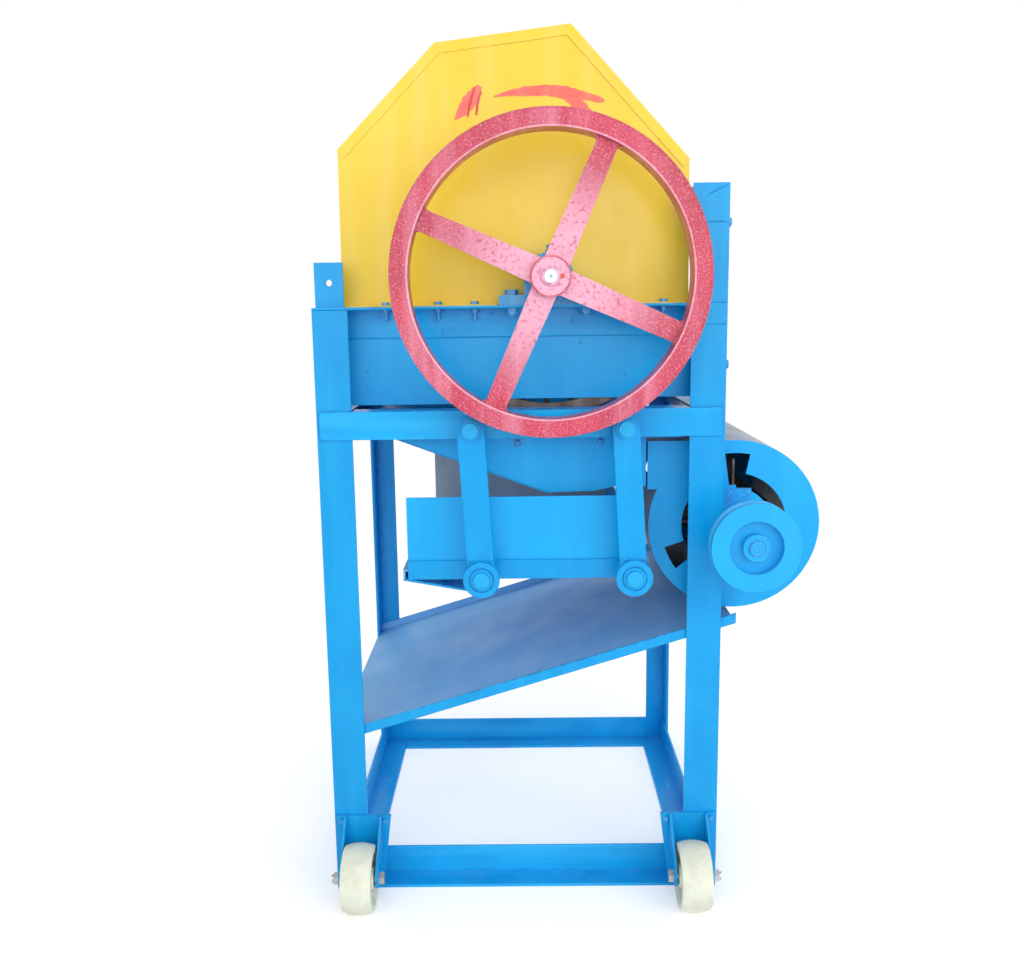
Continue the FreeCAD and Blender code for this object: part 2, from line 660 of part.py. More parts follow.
def sieve():
    """The swinging box: side walls, an end wall, a slotted floor with a turned-down lip, the
    spout under the lip, a runner outside each wall and the box's four pins."""
    pieces = {}
    pins = []
    walls = []
    for _, side in SIDES:
        wall = box(SIEVE_LEFT, SIEVE_RIGHT, side * SIEVE_FACE, side * (SIEVE_FACE - SHEET),
                   RUNNER_BOTTOM + RUNNER_WALL, SIEVE_TOP)
        walls.append(wall)
        for x in LINK_TOP_X:
            foot_x, foot_z = link_foot(x)
            pins.append(capped_pin(side, foot_x, foot_z, SIEVE_FACE + RUNNER_WALL, HUB_HALF))
    pieces["sieve_walls"] = group(walls)
    length = SIEVE_RIGHT - SIEVE_LEFT
    inside = SIEVE_FACE - SHEET
    lip = SIEVE_LEFT - SIEVE_LIP
    floor = union([box(lip, SIEVE_RIGHT, -inside, inside, SIEVE_FLOOR - SHEET, SIEVE_FLOOR),
                   box(lip, lip + SHEET, -inside, inside, RUNNER_BOTTOM, SIEVE_FLOOR)])
    pitch_x = length / SLOT_COLUMNS
    pitch_y = 2 * inside / (SLOT_ROWS + 1)
    slots = []
    for column in range(SLOT_COLUMNS):
        for row in range(SLOT_ROWS):
            x = SIEVE_LEFT + pitch_x * (column + 0.5)
            y = -inside + pitch_y * (row + 1)
            slots.append(box(x - SLOT_LENGTH / 2, x + SLOT_LENGTH / 2, y - SLOT_WIDTH / 2,
                             y + SLOT_WIDTH / 2, SIEVE_FLOOR - 2 * SHEET, SIEVE_FLOOR + SHEET))
    pieces["sieve_screen"] = floor.cut(slots)
    pieces["sieve_end_wall"] = box(SIEVE_RIGHT - SHEET, SIEVE_RIGHT, -inside, inside,
                                   SIEVE_FLOOR, (SIEVE_FLOOR + SIEVE_TOP) / 2)
    spout = [(lip, RUNNER_BOTTOM), (lip + SHEET, RUNNER_BOTTOM), (SPOUT_RIGHT, SPOUT_LOW),
             (SPOUT_RIGHT, SPOUT_LOW - SHEET), (lip, RUNNER_BOTTOM - SHEET)]
    pieces["sieve_spout"] = prism_y(spout, -inside, inside)
    runner = angle_bar(RUNNER_LEG, RUNNER_WALL, length,
                       (SIEVE_LEFT, -SIEVE_FACE - RUNNER_WALL, RUNNER_BOTTOM), (1, 0, 0), (0, 1, 0), (0, 0, 1))
    pieces["sieve_runners"] = group([runner, mirrored_y(runner)])
    pieces["sieve_pins"] = group(pins)
    return pieces


def chute():
    """The sloping tray between the posts, with a lip along each side."""
    slope = math.tan(math.radians(CHUTE_SLOPE))

    def band(rise, drop):
        """Outline of a band along the slope, between two heights above its lower edge."""
        z0 = CHUTE_LEFT_Z
        z1 = CHUTE_LEFT_Z + (CHUTE_RIGHT - CHUTE_LEFT) * slope
        return [(CHUTE_LEFT, z0 + drop), (CHUTE_RIGHT, z1 + drop), (CHUTE_RIGHT, z1 + rise),
                (CHUTE_LEFT, z0 + rise)]
    y = INNER_HALF_DEPTH
    tray = prism_y(band(COVER_SHEET, 0), -y, y)
    lips = [prism_y(band(CHUTE_LIP, 0), side * y, side * (y - COVER_SHEET)) for _, side in SIDES]
    post_clear = [box(LEFT, LEFT + POST_WALL + RUNNING, side * y, side * (BACK - POST_LEG), 0, FEED_HEIGHT)
                  for _, side in SIDES]
    post_clear += [box(INNER_HALF_WIDTH - RUNNING, RIGHT + RUNNING, side * y, side * (BACK - POST_LEG),
                       0, FEED_HEIGHT) for _, side in SIDES]
    return {"chute": union([tray] + lips).cut(post_clear)}


def grooved_wheel(radius, width, front, x, z, depth, groove_z):
    """Revolved rim ring of a belt wheel, with one V groove."""
    y0, y1 = front, front + width
    mid = (y0 + y1) / 2
    outline = [
        (radius - depth, y0), (radius, y0), (radius, mid - GROOVE_TOP / 2),
        (radius - groove_z, mid - GROOVE_BOTTOM / 2), (radius - groove_z, mid + GROOVE_BOTTOM / 2),
        (radius, mid + GROOVE_TOP / 2), (radius, y1), (radius - depth, y1)]
    points = [V(x + r, y, z) for r, y in outline]
    face = Part.Face(Part.makePolygon(points + points[:1]))
    return face.revolve(V(x, 0, z), V(0, 1, 0), 360)


def drive_wheel():
    """The big cast belt wheel: grooved rim, four ribbed spokes and a long hub."""
    rim = grooved_wheel(WHEEL_RADIUS, WHEEL_WIDTH, WHEEL_FRONT, DRUM_X, DRUM_Z, RIM_DEPTH, GROOVE_DEPTH)
    hub = rod_y(WHEEL_HUB_RADIUS, DRUM_X, DRUM_Z, WHEEL_HUB_FRONT, WHEEL_HUB_BACK)
    rim_inside = WHEEL_RADIUS - RIM_DEPTH
    spokes = []
    middle = WHEEL_FRONT + WHEEL_WIDTH / 2
    face = middle - SPOKE_THICKNESS
    for i in range(SPOKE_COUNT):
        flat = spoke_flat(rim_inside, face, face + SPOKE_THICKNESS)
        rib = prism_y([(DRUM_X, DRUM_Z - SPOKE_RIB / 2), (DRUM_X + rim_inside + SHEET, DRUM_Z - SPOKE_RIB / 2),
                       (DRUM_X + rim_inside + SHEET, DRUM_Z + SPOKE_RIB / 2),
                       (DRUM_X, DRUM_Z + SPOKE_RIB / 2)], face, middle + SPOKE_THICKNESS)
        for piece in (flat, rib):
            spokes.append(turned(piece, SPOKE_TURN + 360 / SPOKE_COUNT * i, DRUM_X, DRUM_Z))
    bore = rod_y(SHAFT_RADIUS + RUNNING / 5, DRUM_X, DRUM_Z, SHAFT_FRONT, WHEEL_HUB_BACK)
    return union([rim, hub] + spokes).cut(bore)


def spoke_flat(rim_inside, y0, y1):
    """The flat of a spoke lying along +X, tapering outwards and flaring into the rim."""
    root, tip = SPOKE_HUB_WIDTH / 2, SPOKE_RIM_WIDTH / 2
    r = SPOKE_FILLET
    flare_x = rim_inside - r
    end = rim_inside + SHEET
    arc = r * (1 - math.sqrt(0.5))

    def at(along, across):
        return V(DRUM_X + along, y0, DRUM_Z + across)
    edges = [
        Part.LineSegment(at(0, -root), at(flare_x, -tip)),
        Part.Arc(at(flare_x, -tip), at(flare_x + r - arc, -tip - arc), at(flare_x + r, -tip - r)),
        Part.LineSegment(at(flare_x + r, -tip - r), at(end, -tip - r)),
        Part.LineSegment(at(end, -tip - r), at(end, tip + r)),
        Part.LineSegment(at(end, tip + r), at(flare_x + r, tip + r)),
        Part.Arc(at(flare_x + r, tip + r), at(flare_x + r - arc, tip + arc), at(flare_x, tip)),
        Part.LineSegment(at(flare_x, tip), at(0, root)),
        Part.LineSegment(at(0, root), at(0, -root)),
    ]
    return Part.Face(Part.Wire([e.toShape() for e in edges])).extrude(V(0, y1 - y0, 0))


def drum():
    """Shaft, three discs, the bars across them, and the tines that comb the vines."""
    shoulder = SHAFT_BACK - SHAFT_END_LENGTH
    shaft = union([rod_y(SHAFT_RADIUS, DRUM_X, DRUM_Z, SHAFT_FRONT, shoulder),
                   rod_y(SHAFT_END_RADIUS, DRUM_X, DRUM_Z, shoulder, SHAFT_BACK)])
    discs = []
    bar_face = BAR_RADIUS - BAR_WALL
    for y in (-DRUM_HALF_LENGTH, 0, DRUM_HALF_LENGTH):
        disc = rod_y(bar_face, DRUM_X, DRUM_Z, y - DISC_THICKNESS / 2, y + DISC_THICKNESS / 2)
        hub = rod_y(DISC_HUB_RADIUS, DRUM_X, DRUM_Z, y - DISC_HUB_LENGTH / 2, y + DISC_HUB_LENGTH / 2)
        cuts = [rod_y(SHAFT_RADIUS + RUNNING / 5, DRUM_X, DRUM_Z, y - DISC_HUB_LENGTH, y + DISC_HUB_LENGTH)]
        for i in range(BAR_COUNT):
            a = math.radians(360 / BAR_COUNT * i)
            mid = (DISC_HUB_RADIUS + bar_face) / 2
            cuts.append(rod_y(DISC_WINDOW_RADIUS, DRUM_X + mid * math.cos(a), DRUM_Z + mid * math.sin(a),
                              y - DISC_HUB_LENGTH, y + DISC_HUB_LENGTH))
        discs.append(union([disc, hub]).cut(cuts))
    bars = []
    tines = []
    length = 2 * DRUM_HALF_LENGTH + DISC_THICKNESS + 2 * SHEET
    flat = box(DRUM_X + bar_face, DRUM_X + BAR_RADIUS, -length / 2, length / 2,
               DRUM_Z - BAR_LEG / 2, DRUM_Z + BAR_LEG / 2)
    for i in range(BAR_COUNT):
        angle = 360 / BAR_COUNT * (i + 0.5)
        bars.append(turned(flat, angle, DRUM_X, DRUM_Z))
        shift = TINE_PITCH / 4 if i % 2 else -TINE_PITCH / 4
        for j in range(TINE_COUNT):
            y = (j - (TINE_COUNT - 1) / 2) * TINE_PITCH + shift
            tine = rod(TINE_RADIUS, (DRUM_X + BAR_RADIUS, y, DRUM_Z), (DRUM_X + TINE_TIP_RADIUS, y, DRUM_Z))
            tines.append(turned(tine, angle, DRUM_X, DRUM_Z))
    return {
        "drum_shaft": shaft,
        "drum_discs": group(discs),
        "drum_tine_bars": group(bars + tines),
        "drive_wheel": drive_wheel(),
    }


def pillow_blocks():
    """Two cast pillow blocks with their insert bearings, and the bolts that hold them."""
    blocks = []
    bearings = []
    bolts = []
    foot_z = FEED_HEIGHT + BLOCK_FOOT
    for _, side in SIDES:
        y0, y1 = side * (BLOCK_Y - BLOCK_WIDTH / 2), side * (BLOCK_Y + BLOCK_WIDTH / 2)
        foot = box(DRUM_X - BLOCK_LENGTH / 2, DRUM_X + BLOCK_LENGTH / 2, y0, y1, FEED_HEIGHT, foot_z)
        cheek = box(DRUM_X - BLOCK_BODY_RADIUS, DRUM_X + BLOCK_BODY_RADIUS, y0, y1, FEED_HEIGHT, DRUM_Z)
        ring = rod_y(BLOCK_BODY_RADIUS, DRUM_X, DRUM_Z, y0, y1)
        cuts = [rod_y(BEARING_OUTER, DRUM_X, DRUM_Z, y0, y1)]
        for x in block_bolt_places():
            cuts.append(rod(BOLT_RADIUS + BOLT_CLEARANCE, (x, side * BLOCK_Y, FEED_HEIGHT),
                            (x, side * BLOCK_Y, foot_z)))
            bolts.append(bolt(BOLT_RADIUS, NUT_SIZE, (x, side * BLOCK_Y, foot_z), (0, 0, -1),
                              BLOCK_FOOT + RAIL_WALL + NUT_SIZE * 0.7, BLOCK_FOOT + RAIL_WALL))
        blocks.append(union([foot, cheek, ring]).cut(cuts))
        insert = rod_y(BEARING_OUTER, DRUM_X, DRUM_Z, y0, y1)
        sleeve = rod_y(SHAFT_RADIUS + SHEET, DRUM_X, DRUM_Z, side * (BLOCK_Y - BEARING_LENGTH * 0.56),
                       side * (BLOCK_Y + BEARING_LENGTH * 0.56))
        bore = rod_y(SHAFT_RADIUS + RUNNING, DRUM_X, DRUM_Z, -BACK - TOP_LEG, BACK + TOP_LEG)
        bearings.append(union([insert, sleeve]).cut(bore))
    return {
        "pillow_blocks": group(blocks),
        "drum_bearings": group(bearings),
        "pillow_block_bolts": group(bolts),
    }


def hood_bolts():
    """The small bolts through the hood's feet and the top rails' ledges."""
    bolts = []
    for _, side in SIDES:
        for x in FOOT_BOLT_X:
            bolts.append(bolt(FOOT_BOLT_RADIUS, 10.0, (x, side * foot_bolt_y(), FEED_HEIGHT + COVER_SHEET),
                              (0, 0, -1), FOOT_BOLT_LENGTH * 0.6, COVER_SHEET + RAIL_WALL))
    return {"hood_bolts": group(bolts)}


def fan_outline(radius, throat_x, throat_top, throat_bottom):
    """Closed outline of the fan case in XZ: a round case with a mouth to the left at its top."""
    rise = throat_bottom - FAN_Z
    entry_x = FAN_X - math.sqrt(radius * radius - rise * rise)

    def at(x, z):
        return V(x, 0, z)
    start = at(entry_x, throat_bottom)
    bottom = at(FAN_X, FAN_Z - radius)
    right = at(FAN_X + radius, FAN_Z)
    top = at(FAN_X, throat_top)
    left_mid = at(FAN_X - radius * math.cos(math.radians(30)), FAN_Z - radius * math.sin(math.radians(30)))
    lower_right = at(FAN_X + radius * math.sqrt(0.5), FAN_Z - radius * math.sqrt(0.5))
    upper_right = at(FAN_X + radius * math.sqrt(0.5), FAN_Z + radius * math.sqrt(0.5))
    corner_top = at(throat_x, throat_top)
    corner_bottom = at(throat_x, throat_bottom)
    edges = [
        Part.Arc(start, left_mid, bottom),
        Part.Arc(bottom, lower_right, right),
        Part.Arc(right, upper_right, top),
        Part.LineSegment(top, corner_top),
        Part.LineSegment(corner_top, corner_bottom),
    ]
    if (start - corner_bottom).Length > RUNNING:
        edges.append(Part.LineSegment(corner_bottom, start))
    return Part.Face(Part.Wire([e.toShape() for e in edges]))


def fan_case():
    """The fan's wrapper and its two end plates with the air inlets."""
    y0, y1 = FAN_FRONT, FAN_BACK
    outer = fan_outline(FAN_RADIUS, THROAT_X, THROAT_TOP, THROAT_BOTTOM - COVER_SHEET)
    inner = fan_outline(FAN_RADIUS - COVER_SHEET, THROAT_X - COVER_SHEET, THROAT_TOP - COVER_SHEET,
                        THROAT_BOTTOM)
    pieces = {}
    wrapper = outer.extrude(V(0, y1 - y0 - 2 * SHEET, 0)).cut(inner.extrude(V(0, y1 - y0 - 2 * SHEET, 0)))
    wrapper.translate(V(0, y0 + SHEET, 0))
    pieces["fan_wrapper"] = wrapper
    for name, start in (("front", y0), ("back", y1 - SHEET)):
        plate = outer.extrude(V(0, SHEET, 0))
        plate.translate(V(0, start, 0))
        cuts = [rod_y(FAN_SHAFT_RADIUS + SHEET, FAN_X, FAN_Z, start, start + SHEET)]
        for turn in INLET_TURNS:
            arm = ring_sector(INLET_ARM, turn - INLET_ARM_HALF_ANGLE, turn + INLET_ARM_HALF_ANGLE, start)
            band = ring_sector(INLET_BAND, turn - INLET_BAND_ANGLE, turn, start)
            cuts.append(union([arm, band]))
        pieces["fan_end_" + name] = plate.cut(cuts)
    return pieces


def ring_sector(radii, start_angle, end_angle, y):
    """Part of a sheet-thick ring about the fan's axis, between two radii and two angles."""
    ring = rod_y(radii[1], FAN_X, FAN_Z, y, y + SHEET).cut(rod_y(radii[0], FAN_X, FAN_Z, y, y + SHEET))
    return ring.common(sector_prism(start_angle, end_angle, y, y + SHEET))


def sector_prism(start_angle, end_angle, y0, y1):
    """A wedge about the fan's axis, between two angles in degrees from +X towards +Z."""
    reach = 2 * FAN_RADIUS
    points = [(FAN_X, FAN_Z)]
    for a in (start_angle, (start_angle + end_angle) / 2, end_angle):
        points.append((FAN_X + reach * math.cos(math.radians(a)), FAN_Z + reach * math.sin(math.radians(a))))
    return prism_y(points, y0, y1)


def fan():
    """The fan's bearings on the case, and its shaft, paddles and belt pulley."""
    pieces = fan_case()
    bearings = []
    for face, way in ((FAN_FRONT, -1), (FAN_BACK, 1)):
        end = face + way * FAN_BEARING_DEPTH
        flange = box(FAN_X - FAN_BEARING_RADIUS, FAN_X + FAN_BEARING_RADIUS, face,
                     face + way * FAN_FLANGE_WALL, FAN_Z - FAN_FLANGE_LENGTH / 2,
                     FAN_Z + FAN_FLANGE_LENGTH / 2)
        body = rod_y(FAN_BEARING_RADIUS, FAN_X, FAN_Z, face, end)
        bearings.append(union([flange, body]).cut(
            rod_y(FAN_SHAFT_RADIUS + RUNNING, FAN_X, FAN_Z, face - way, end + way)))
    pieces["fan_bearings"] = group(bearings)
    back_end = FAN_BACK + FAN_BEARING_DEPTH + 2 * SHEET
    pieces["fan_shaft"] = rod_y(FAN_SHAFT_RADIUS, FAN_X, FAN_Z, FAN_SHAFT_FRONT, back_end)
    hubs = []
    for y in FAN_SPIDER_Y:
        hub = rod_y(FAN_HUB_RADIUS, FAN_X, FAN_Z, y - FAN_HUB_LENGTH / 2, y + FAN_HUB_LENGTH / 2)
        arms = [turned(box(FAN_X, FAN_X + BLADE_ROOT + SLOT_WIDTH, y - SHEET, y + SHEET, FAN_Z, FAN_Z + SHEET),
                       360 / BLADE_COUNT * i, FAN_X, FAN_Z) for i in range(BLADE_COUNT)]
        hubs.append(union([hub] + arms).cut(
            rod_y(FAN_SHAFT_RADIUS + RUNNING / 5, FAN_X, FAN_Z, y - FAN_HUB_LENGTH, y + FAN_HUB_LENGTH)))
    blade = box(FAN_X + BLADE_ROOT, FAN_X + BLADE_RADIUS, FAN_FRONT + 6 * SHEET, FAN_BACK - 6 * SHEET,
                FAN_Z - BLADE_THICKNESS, FAN_Z)
    blades = [turned(blade, 360 / BLADE_COUNT * i, FAN_X, FAN_Z) for i in range(BLADE_COUNT)]
    pieces["fan_impeller"] = group(hubs + blades)
    pieces["fan_pulley"] = fan_pulley()
    return pieces


def fan_pulley():
    """A cast pulley with one groove, dished on its outer face round a hub."""
    front = FAN_PULLEY_FRONT
    rim = grooved_wheel(FAN_PULLEY_RADIUS, FAN_PULLEY_WIDTH, front, FAN_X, FAN_Z,
                        FAN_PULLEY_RADIUS - FAN_DISH_RADIUS, GROOVE_DEPTH)
    web = rod_y(FAN_DISH_RADIUS, FAN_X, FAN_Z, front + FAN_DISH_DEPTH, front + FAN_PULLEY_WIDTH)
    hub = rod_y(FAN_PULLEY_HUB, FAN_X, FAN_Z, front, front + FAN_PULLEY_WIDTH)
    bore = rod_y(FAN_SHAFT_RADIUS + RUNNING / 5, FAN_X, FAN_Z, front, front + FAN_PULLEY_WIDTH)
    return union([rim, web, hub]).cut(bore)


def castors():
    """Two castors on the front feet: folded brackets, axle bolts, wheels and fixing bolts."""
    pieces = {}
    fixings = []
    brackets = []
    axles = []
    half = CASTOR_WIDTH / 2 + CASTOR_CLEARANCE
    back = FRONT - BRACKET_WALL
    ear_outline = [(FRONT, BRACKET_TOP), (back - BRACKET_WALL, BRACKET_TOP),
                   (CASTOR_Y - CASTOR_HUB_RADIUS, CASTOR_RADIUS + CASTOR_HUB_RADIUS),
                   (CASTOR_Y - CASTOR_HUB_RADIUS, CASTOR_RADIUS - CASTOR_HUB_RADIUS / 2),
                   (CASTOR_Y, CASTOR_RADIUS - CASTOR_HUB_RADIUS), (FRONT, BRACKET_BOTTOM)]
    for hand, side in (("left", -1), ("right", 1)):
        x = side * CASTOR_X
        flare = BRACKET_TOP_WIDTH / 2
        plate = prism_y([(x - half - BRACKET_WALL, BRACKET_BOTTOM), (x + half + BRACKET_WALL, BRACKET_BOTTOM),
                         (x + flare, BRACKET_TOP), (x - flare, BRACKET_TOP)], FRONT, back)
        ears = [prism_x(ear_outline, x + way * half, x + way * (half + BRACKET_WALL)) for way in (-1, 1)]
        holes = [rod((AXLE_RADIUS + RUNNING), (x - flare, CASTOR_Y, CASTOR_RADIUS),
                     (x + flare, CASTOR_Y, CASTOR_RADIUS))]
        for way in (-1, 1):
            bolt_x = x + way * BRACKET_BOLT_X
            holes.append(rod_y(BRACKET_BOLT_RADIUS, bolt_x, BRACKET_BOLT_Z, FRONT, back))
            on_post = abs(bolt_x) > RIGHT - POST_LEG
            grip = BRACKET_WALL + (POST_WALL if on_post else 0)
            fixings.append(bolt(BRACKET_BOLT_RADIUS, BRACKET_BOLT_HEAD, (bolt_x, back, BRACKET_BOLT_Z),
                                (0, 1, 0), grip + BRACKET_BOLT_HEAD, grip))
        brackets.append(union([plate] + ears).cut(holes))
        pieces["castor_wheel_" + hand] = castor_wheel(x)
        outside = half + BRACKET_WALL
        axles.append(bolt(AXLE_RADIUS, 17.0, (x - side * outside, CASTOR_Y, CASTOR_RADIUS), (side, 0, 0),
                          2 * outside + 12.0, 2 * outside))
    pieces["castor_brackets"] = group(brackets)
    pieces["castor_axles"] = group(axles)
    pieces["castor_fixings"] = group(fixings)
    return pieces


def castor_wheel(x):
    """A solid nylon wheel with a crowned tread, recessed sides and a hub."""
    half = CASTOR_WIDTH / 2
    crown = 4.0
    tread = CASTOR_RADIUS - crown
    recess = 7.0
    rim = 12.0
    bore = AXLE_RADIUS + RUNNING

    def at(across, radius):
        return V(x + across, CASTOR_Y, CASTOR_RADIUS + radius)
    right = [
        (half, bore), (half, CASTOR_HUB_RADIUS), (half - recess, CASTOR_HUB_RADIUS + recess / 2),
        (half - recess, tread - rim), (half, tread - rim + recess / 2), (half, tread)]
    left = [(-across, radius) for across, radius in reversed(right)]
    edges = [Part.LineSegment(at(*a), at(*b)) for a, b in zip(right, right[1:])]
    edges.append(Part.Arc(at(half, tread), at(0, CASTOR_RADIUS), at(-half, tread)))
    edges += [Part.LineSegment(at(*a), at(*b)) for a, b in zip(left, left[1:])]
    edges.append(Part.LineSegment(at(-half, bore), at(half, bore)))
    face = Part.Face(Part.Wire([e.toShape() for e in edges]))
    return face.revolve(V(x, CASTOR_Y, CASTOR_RADIUS), V(1, 0, 0), 360)


def all_pieces():
    """Every named piece of the machine."""
    pieces = {}
    for make in (posts, base_rails, mid_rails, top_rails, feed_table_lugs, casing, concave, hood,
                 outlet_head, hopper, links, sieve, chute, drum, pillow_blocks, hood_bolts, fan, castors):
        pieces.update(make())
    return pieces


def main():
    """Writes one STEP file per piece."""
    os.makedirs("parts", exist_ok=True)
    for name, shape in all_pieces().items():
        shape.translate(V(-FOOTPRINT_X, -FOOTPRINT_Y, 0))
        shape.exportStep(os.path.join("parts", name + ".step"))
        if not shape.isValid():
            print("not valid:", name)
        print(name, len(shape.Solids), "solids, volume", round(shape.Volume / 1000, 1), "cm3")


main()
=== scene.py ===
import json
import logging
import math
from dataclasses import dataclass, replace
from enum import Enum
from typing import Sequence

import bmesh
import bpy
from bpy.types import Material, Node, NodeSocket as Socket, NodeTree
from mathutils import Matrix, Vector


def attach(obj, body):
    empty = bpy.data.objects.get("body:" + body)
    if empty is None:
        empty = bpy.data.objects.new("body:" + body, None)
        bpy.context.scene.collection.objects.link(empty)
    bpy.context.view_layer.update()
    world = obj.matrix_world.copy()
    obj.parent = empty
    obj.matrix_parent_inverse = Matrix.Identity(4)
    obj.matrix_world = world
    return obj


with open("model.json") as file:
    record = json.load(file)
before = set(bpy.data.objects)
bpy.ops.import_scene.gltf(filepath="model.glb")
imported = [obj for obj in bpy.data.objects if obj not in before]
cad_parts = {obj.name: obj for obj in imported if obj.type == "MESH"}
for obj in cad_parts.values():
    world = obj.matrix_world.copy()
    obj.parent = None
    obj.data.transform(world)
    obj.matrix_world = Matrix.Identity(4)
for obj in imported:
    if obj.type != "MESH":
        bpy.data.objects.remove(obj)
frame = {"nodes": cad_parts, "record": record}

log = logging.getLogger("peanut_picker")
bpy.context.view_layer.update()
MM = 0.001
Point = tuple[float, float, float]
Colour = tuple[float, float, float]
Stroke = tuple[tuple[float, float, float], ...]

# The drum's axis runs along y and carries the belt wheel. Millimetres from the middle of the posts.
DRUM_X = 42.0
DRUM_Z = 918.5


class Body(Enum):
    """The moving bodies of the machine that pieces ride on."""

    FRAME = "frame"
    DRUM = "drum"
    FAN = "fan_rotor"
    SIEVE = "sieve"
    CASTOR_LEFT = "castor_left"
    CASTOR_RIGHT = "castor_right"
    LINK_FRONT_LEFT = "link_front_left"
    LINK_FRONT_RIGHT = "link_front_right"
    LINK_BACK_LEFT = "link_back_left"
    LINK_BACK_RIGHT = "link_back_right"


class Run(Enum):
    """Which way brush marks and streaks run, as the stretch of their noise along x, y and z."""

    DOWN = (34.0, 34.0, 2.4)
    ALONG = (2.4, 34.0, 34.0)
    ACROSS = (34.0, 2.4, 34.0)


# The middle of the frame's posts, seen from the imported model's origin.
CENTRE = Vector((-0.0765, 0.032, 0.0))


def at(x: float, y: float, z: float) -> Vector:
    """A point given in millimetres from the middle of the posts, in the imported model's metres.

    Args:
        x: Millimetres to the right.
        y: Millimetres away from the camera.
        z: Millimetres above the floor.

    Returns:
        The point in metres.
    """
    return CENTRE + Vector((x, y, z)) * MM


class NodeBuilder:
    """Adds shader nodes to one tree."""

    def __init__(self, tree: NodeTree) -> None:
        """Starts on a tree."""
        self.tree = tree

    def put(self, target: Socket, value: object) -> None:
        """Links a socket to an input, or sets the input to a value."""
        if isinstance(value, Socket):
            self.tree.links.new(value, target)
        else:
            target.default_value = value

    def node(self, kind: str, inputs: dict[str | int, object] | None = None, **settings: object) -> Node:
        """Adds a node.

        Args:
            kind: Its type, without ShaderNode in front.
            inputs: A socket or a value for each input, by its name or place.
            settings: The node's properties.

        Returns:
            The node.
        """
        made = self.tree.nodes.new("ShaderNode" + kind)
        for key, value in settings.items():
            setattr(made, key, value)
        for key, value in (inputs or {}).items():
            self.put(made.inputs[key], value)
        return made

    def math(self, operation: str, first: object, second: object, clamp: bool = False) -> Socket:
        """Adds a Math node.

        Args:
            operation: The node's operation.
            first: A socket or a number.
            second: A socket or a number.
            clamp: Whether the result is kept between 0 and 1.

        Returns:
            The node's output socket.
        """
        return self.node("Math", {0: first, 1: second}, operation=operation, use_clamp=clamp).outputs[0]

    def scale(self, value: Socket, low: float, high: float) -> Socket:
        """Maps a value from 0..1 to low..high."""
        return self.node("MapRange", {"Value": value, "To Min": low, "To Max": high}).outputs["Result"]

    def ramp(self, value: Socket, low: float, high: float, fall: bool = False) -> Socket:
        """Maps a value from low..high to 0..1, or to 1..0 where it falls, with a smooth step."""
        ends = {"Value": value, "From Min": low, "From Max": high}
        if fall:
            ends |= {"To Min": 1.0, "To Max": 0.0}
        return self.node("MapRange", ends, interpolation_type="SMOOTHSTEP").outputs["Result"]

    def place(self) -> Socket:
        """Gives the place in the object's own coordinates."""
        return self.node("TexCoord").outputs["Object"]

    def noise(self, vector: Socket, scale: object, detail: float = 4.0, rough: float = 0.6) -> Socket:
        """Adds a Noise Texture and returns its factor."""
        return self.node("TexNoise", {"Vector": vector, "Scale": scale, "Detail": detail,
                                      "Roughness": rough}).outputs["Fac"]

    def seen(self) -> Socket:
        """Gives 1 for the rays that show the background, and 0 for the light on the machine."""
        rays = self.node("LightPath").outputs
        straight = self.math("MAXIMUM", rays["Is Camera Ray"], rays["Is Transmission Ray"])
        return self.math("MAXIMUM", straight, rays["Is Glossy Ray"])


class GroupBuilder(NodeBuilder):
    """Builds one node group, shared by the finishes, with named inputs and outputs."""

    def __init__(self, name: str) -> None:
        """Makes an empty group called name."""
        super().__init__(bpy.data.node_groups.new(name, "ShaderNodeTree"))
        self.enter = self.tree.nodes.new("NodeGroupInput")
        self.leave = self.tree.nodes.new("NodeGroupOutput")

    def takes(self, name: str, default: float | tuple[float, ...]) -> None:
        """Adds an input, a number or a vector, with its default value."""
        kind = "NodeSocketVector" if isinstance(default, tuple) else "NodeSocketFloat"
        self.tree.interface.new_socket(name, in_out="INPUT", socket_type=kind).default_value = default

    def gives(self, name: str, value: Socket) -> None:
        """Adds an output, a number, and feeds it."""
        self.tree.interface.new_socket(name, in_out="OUTPUT", socket_type="NodeSocketFloat")
        self.put(self.leave.inputs[name], value)


def mottle_group() -> NodeTree:
    """Uneven brushed paint: broad clouds and streaks that run one way.

    Returns:
        A group that gives Clouds, Streaks and Film (a height).
    """
    b = GroupBuilder("Mottle")
    b.takes("Scale", 9.0)
    b.takes("Stretch", Run.DOWN.value)
    where = b.place()
    clouds = b.noise(where, b.enter.outputs["Scale"], 5.0, 0.62)
    drawn = b.node("Mapping", {"Scale": b.enter.outputs["Stretch"], "Vector": where}, vector_type="POINT")
    streaks = b.noise(drawn.outputs["Vector"], 1.0, 3.0, 0.55)
    fine = b.math("MULTIPLY", b.noise(where, 260.0, 2.0, 0.5), 0.25)
    b.gives("Clouds", b.ramp(clouds, 0.32, 0.7))
    b.gives("Streaks", b.ramp(streaks, 0.42, 0.75))
    b.gives("Film", b.math("ADD", b.noise(where, 38.0, 3.0, 0.5), fine))
    return b.tree


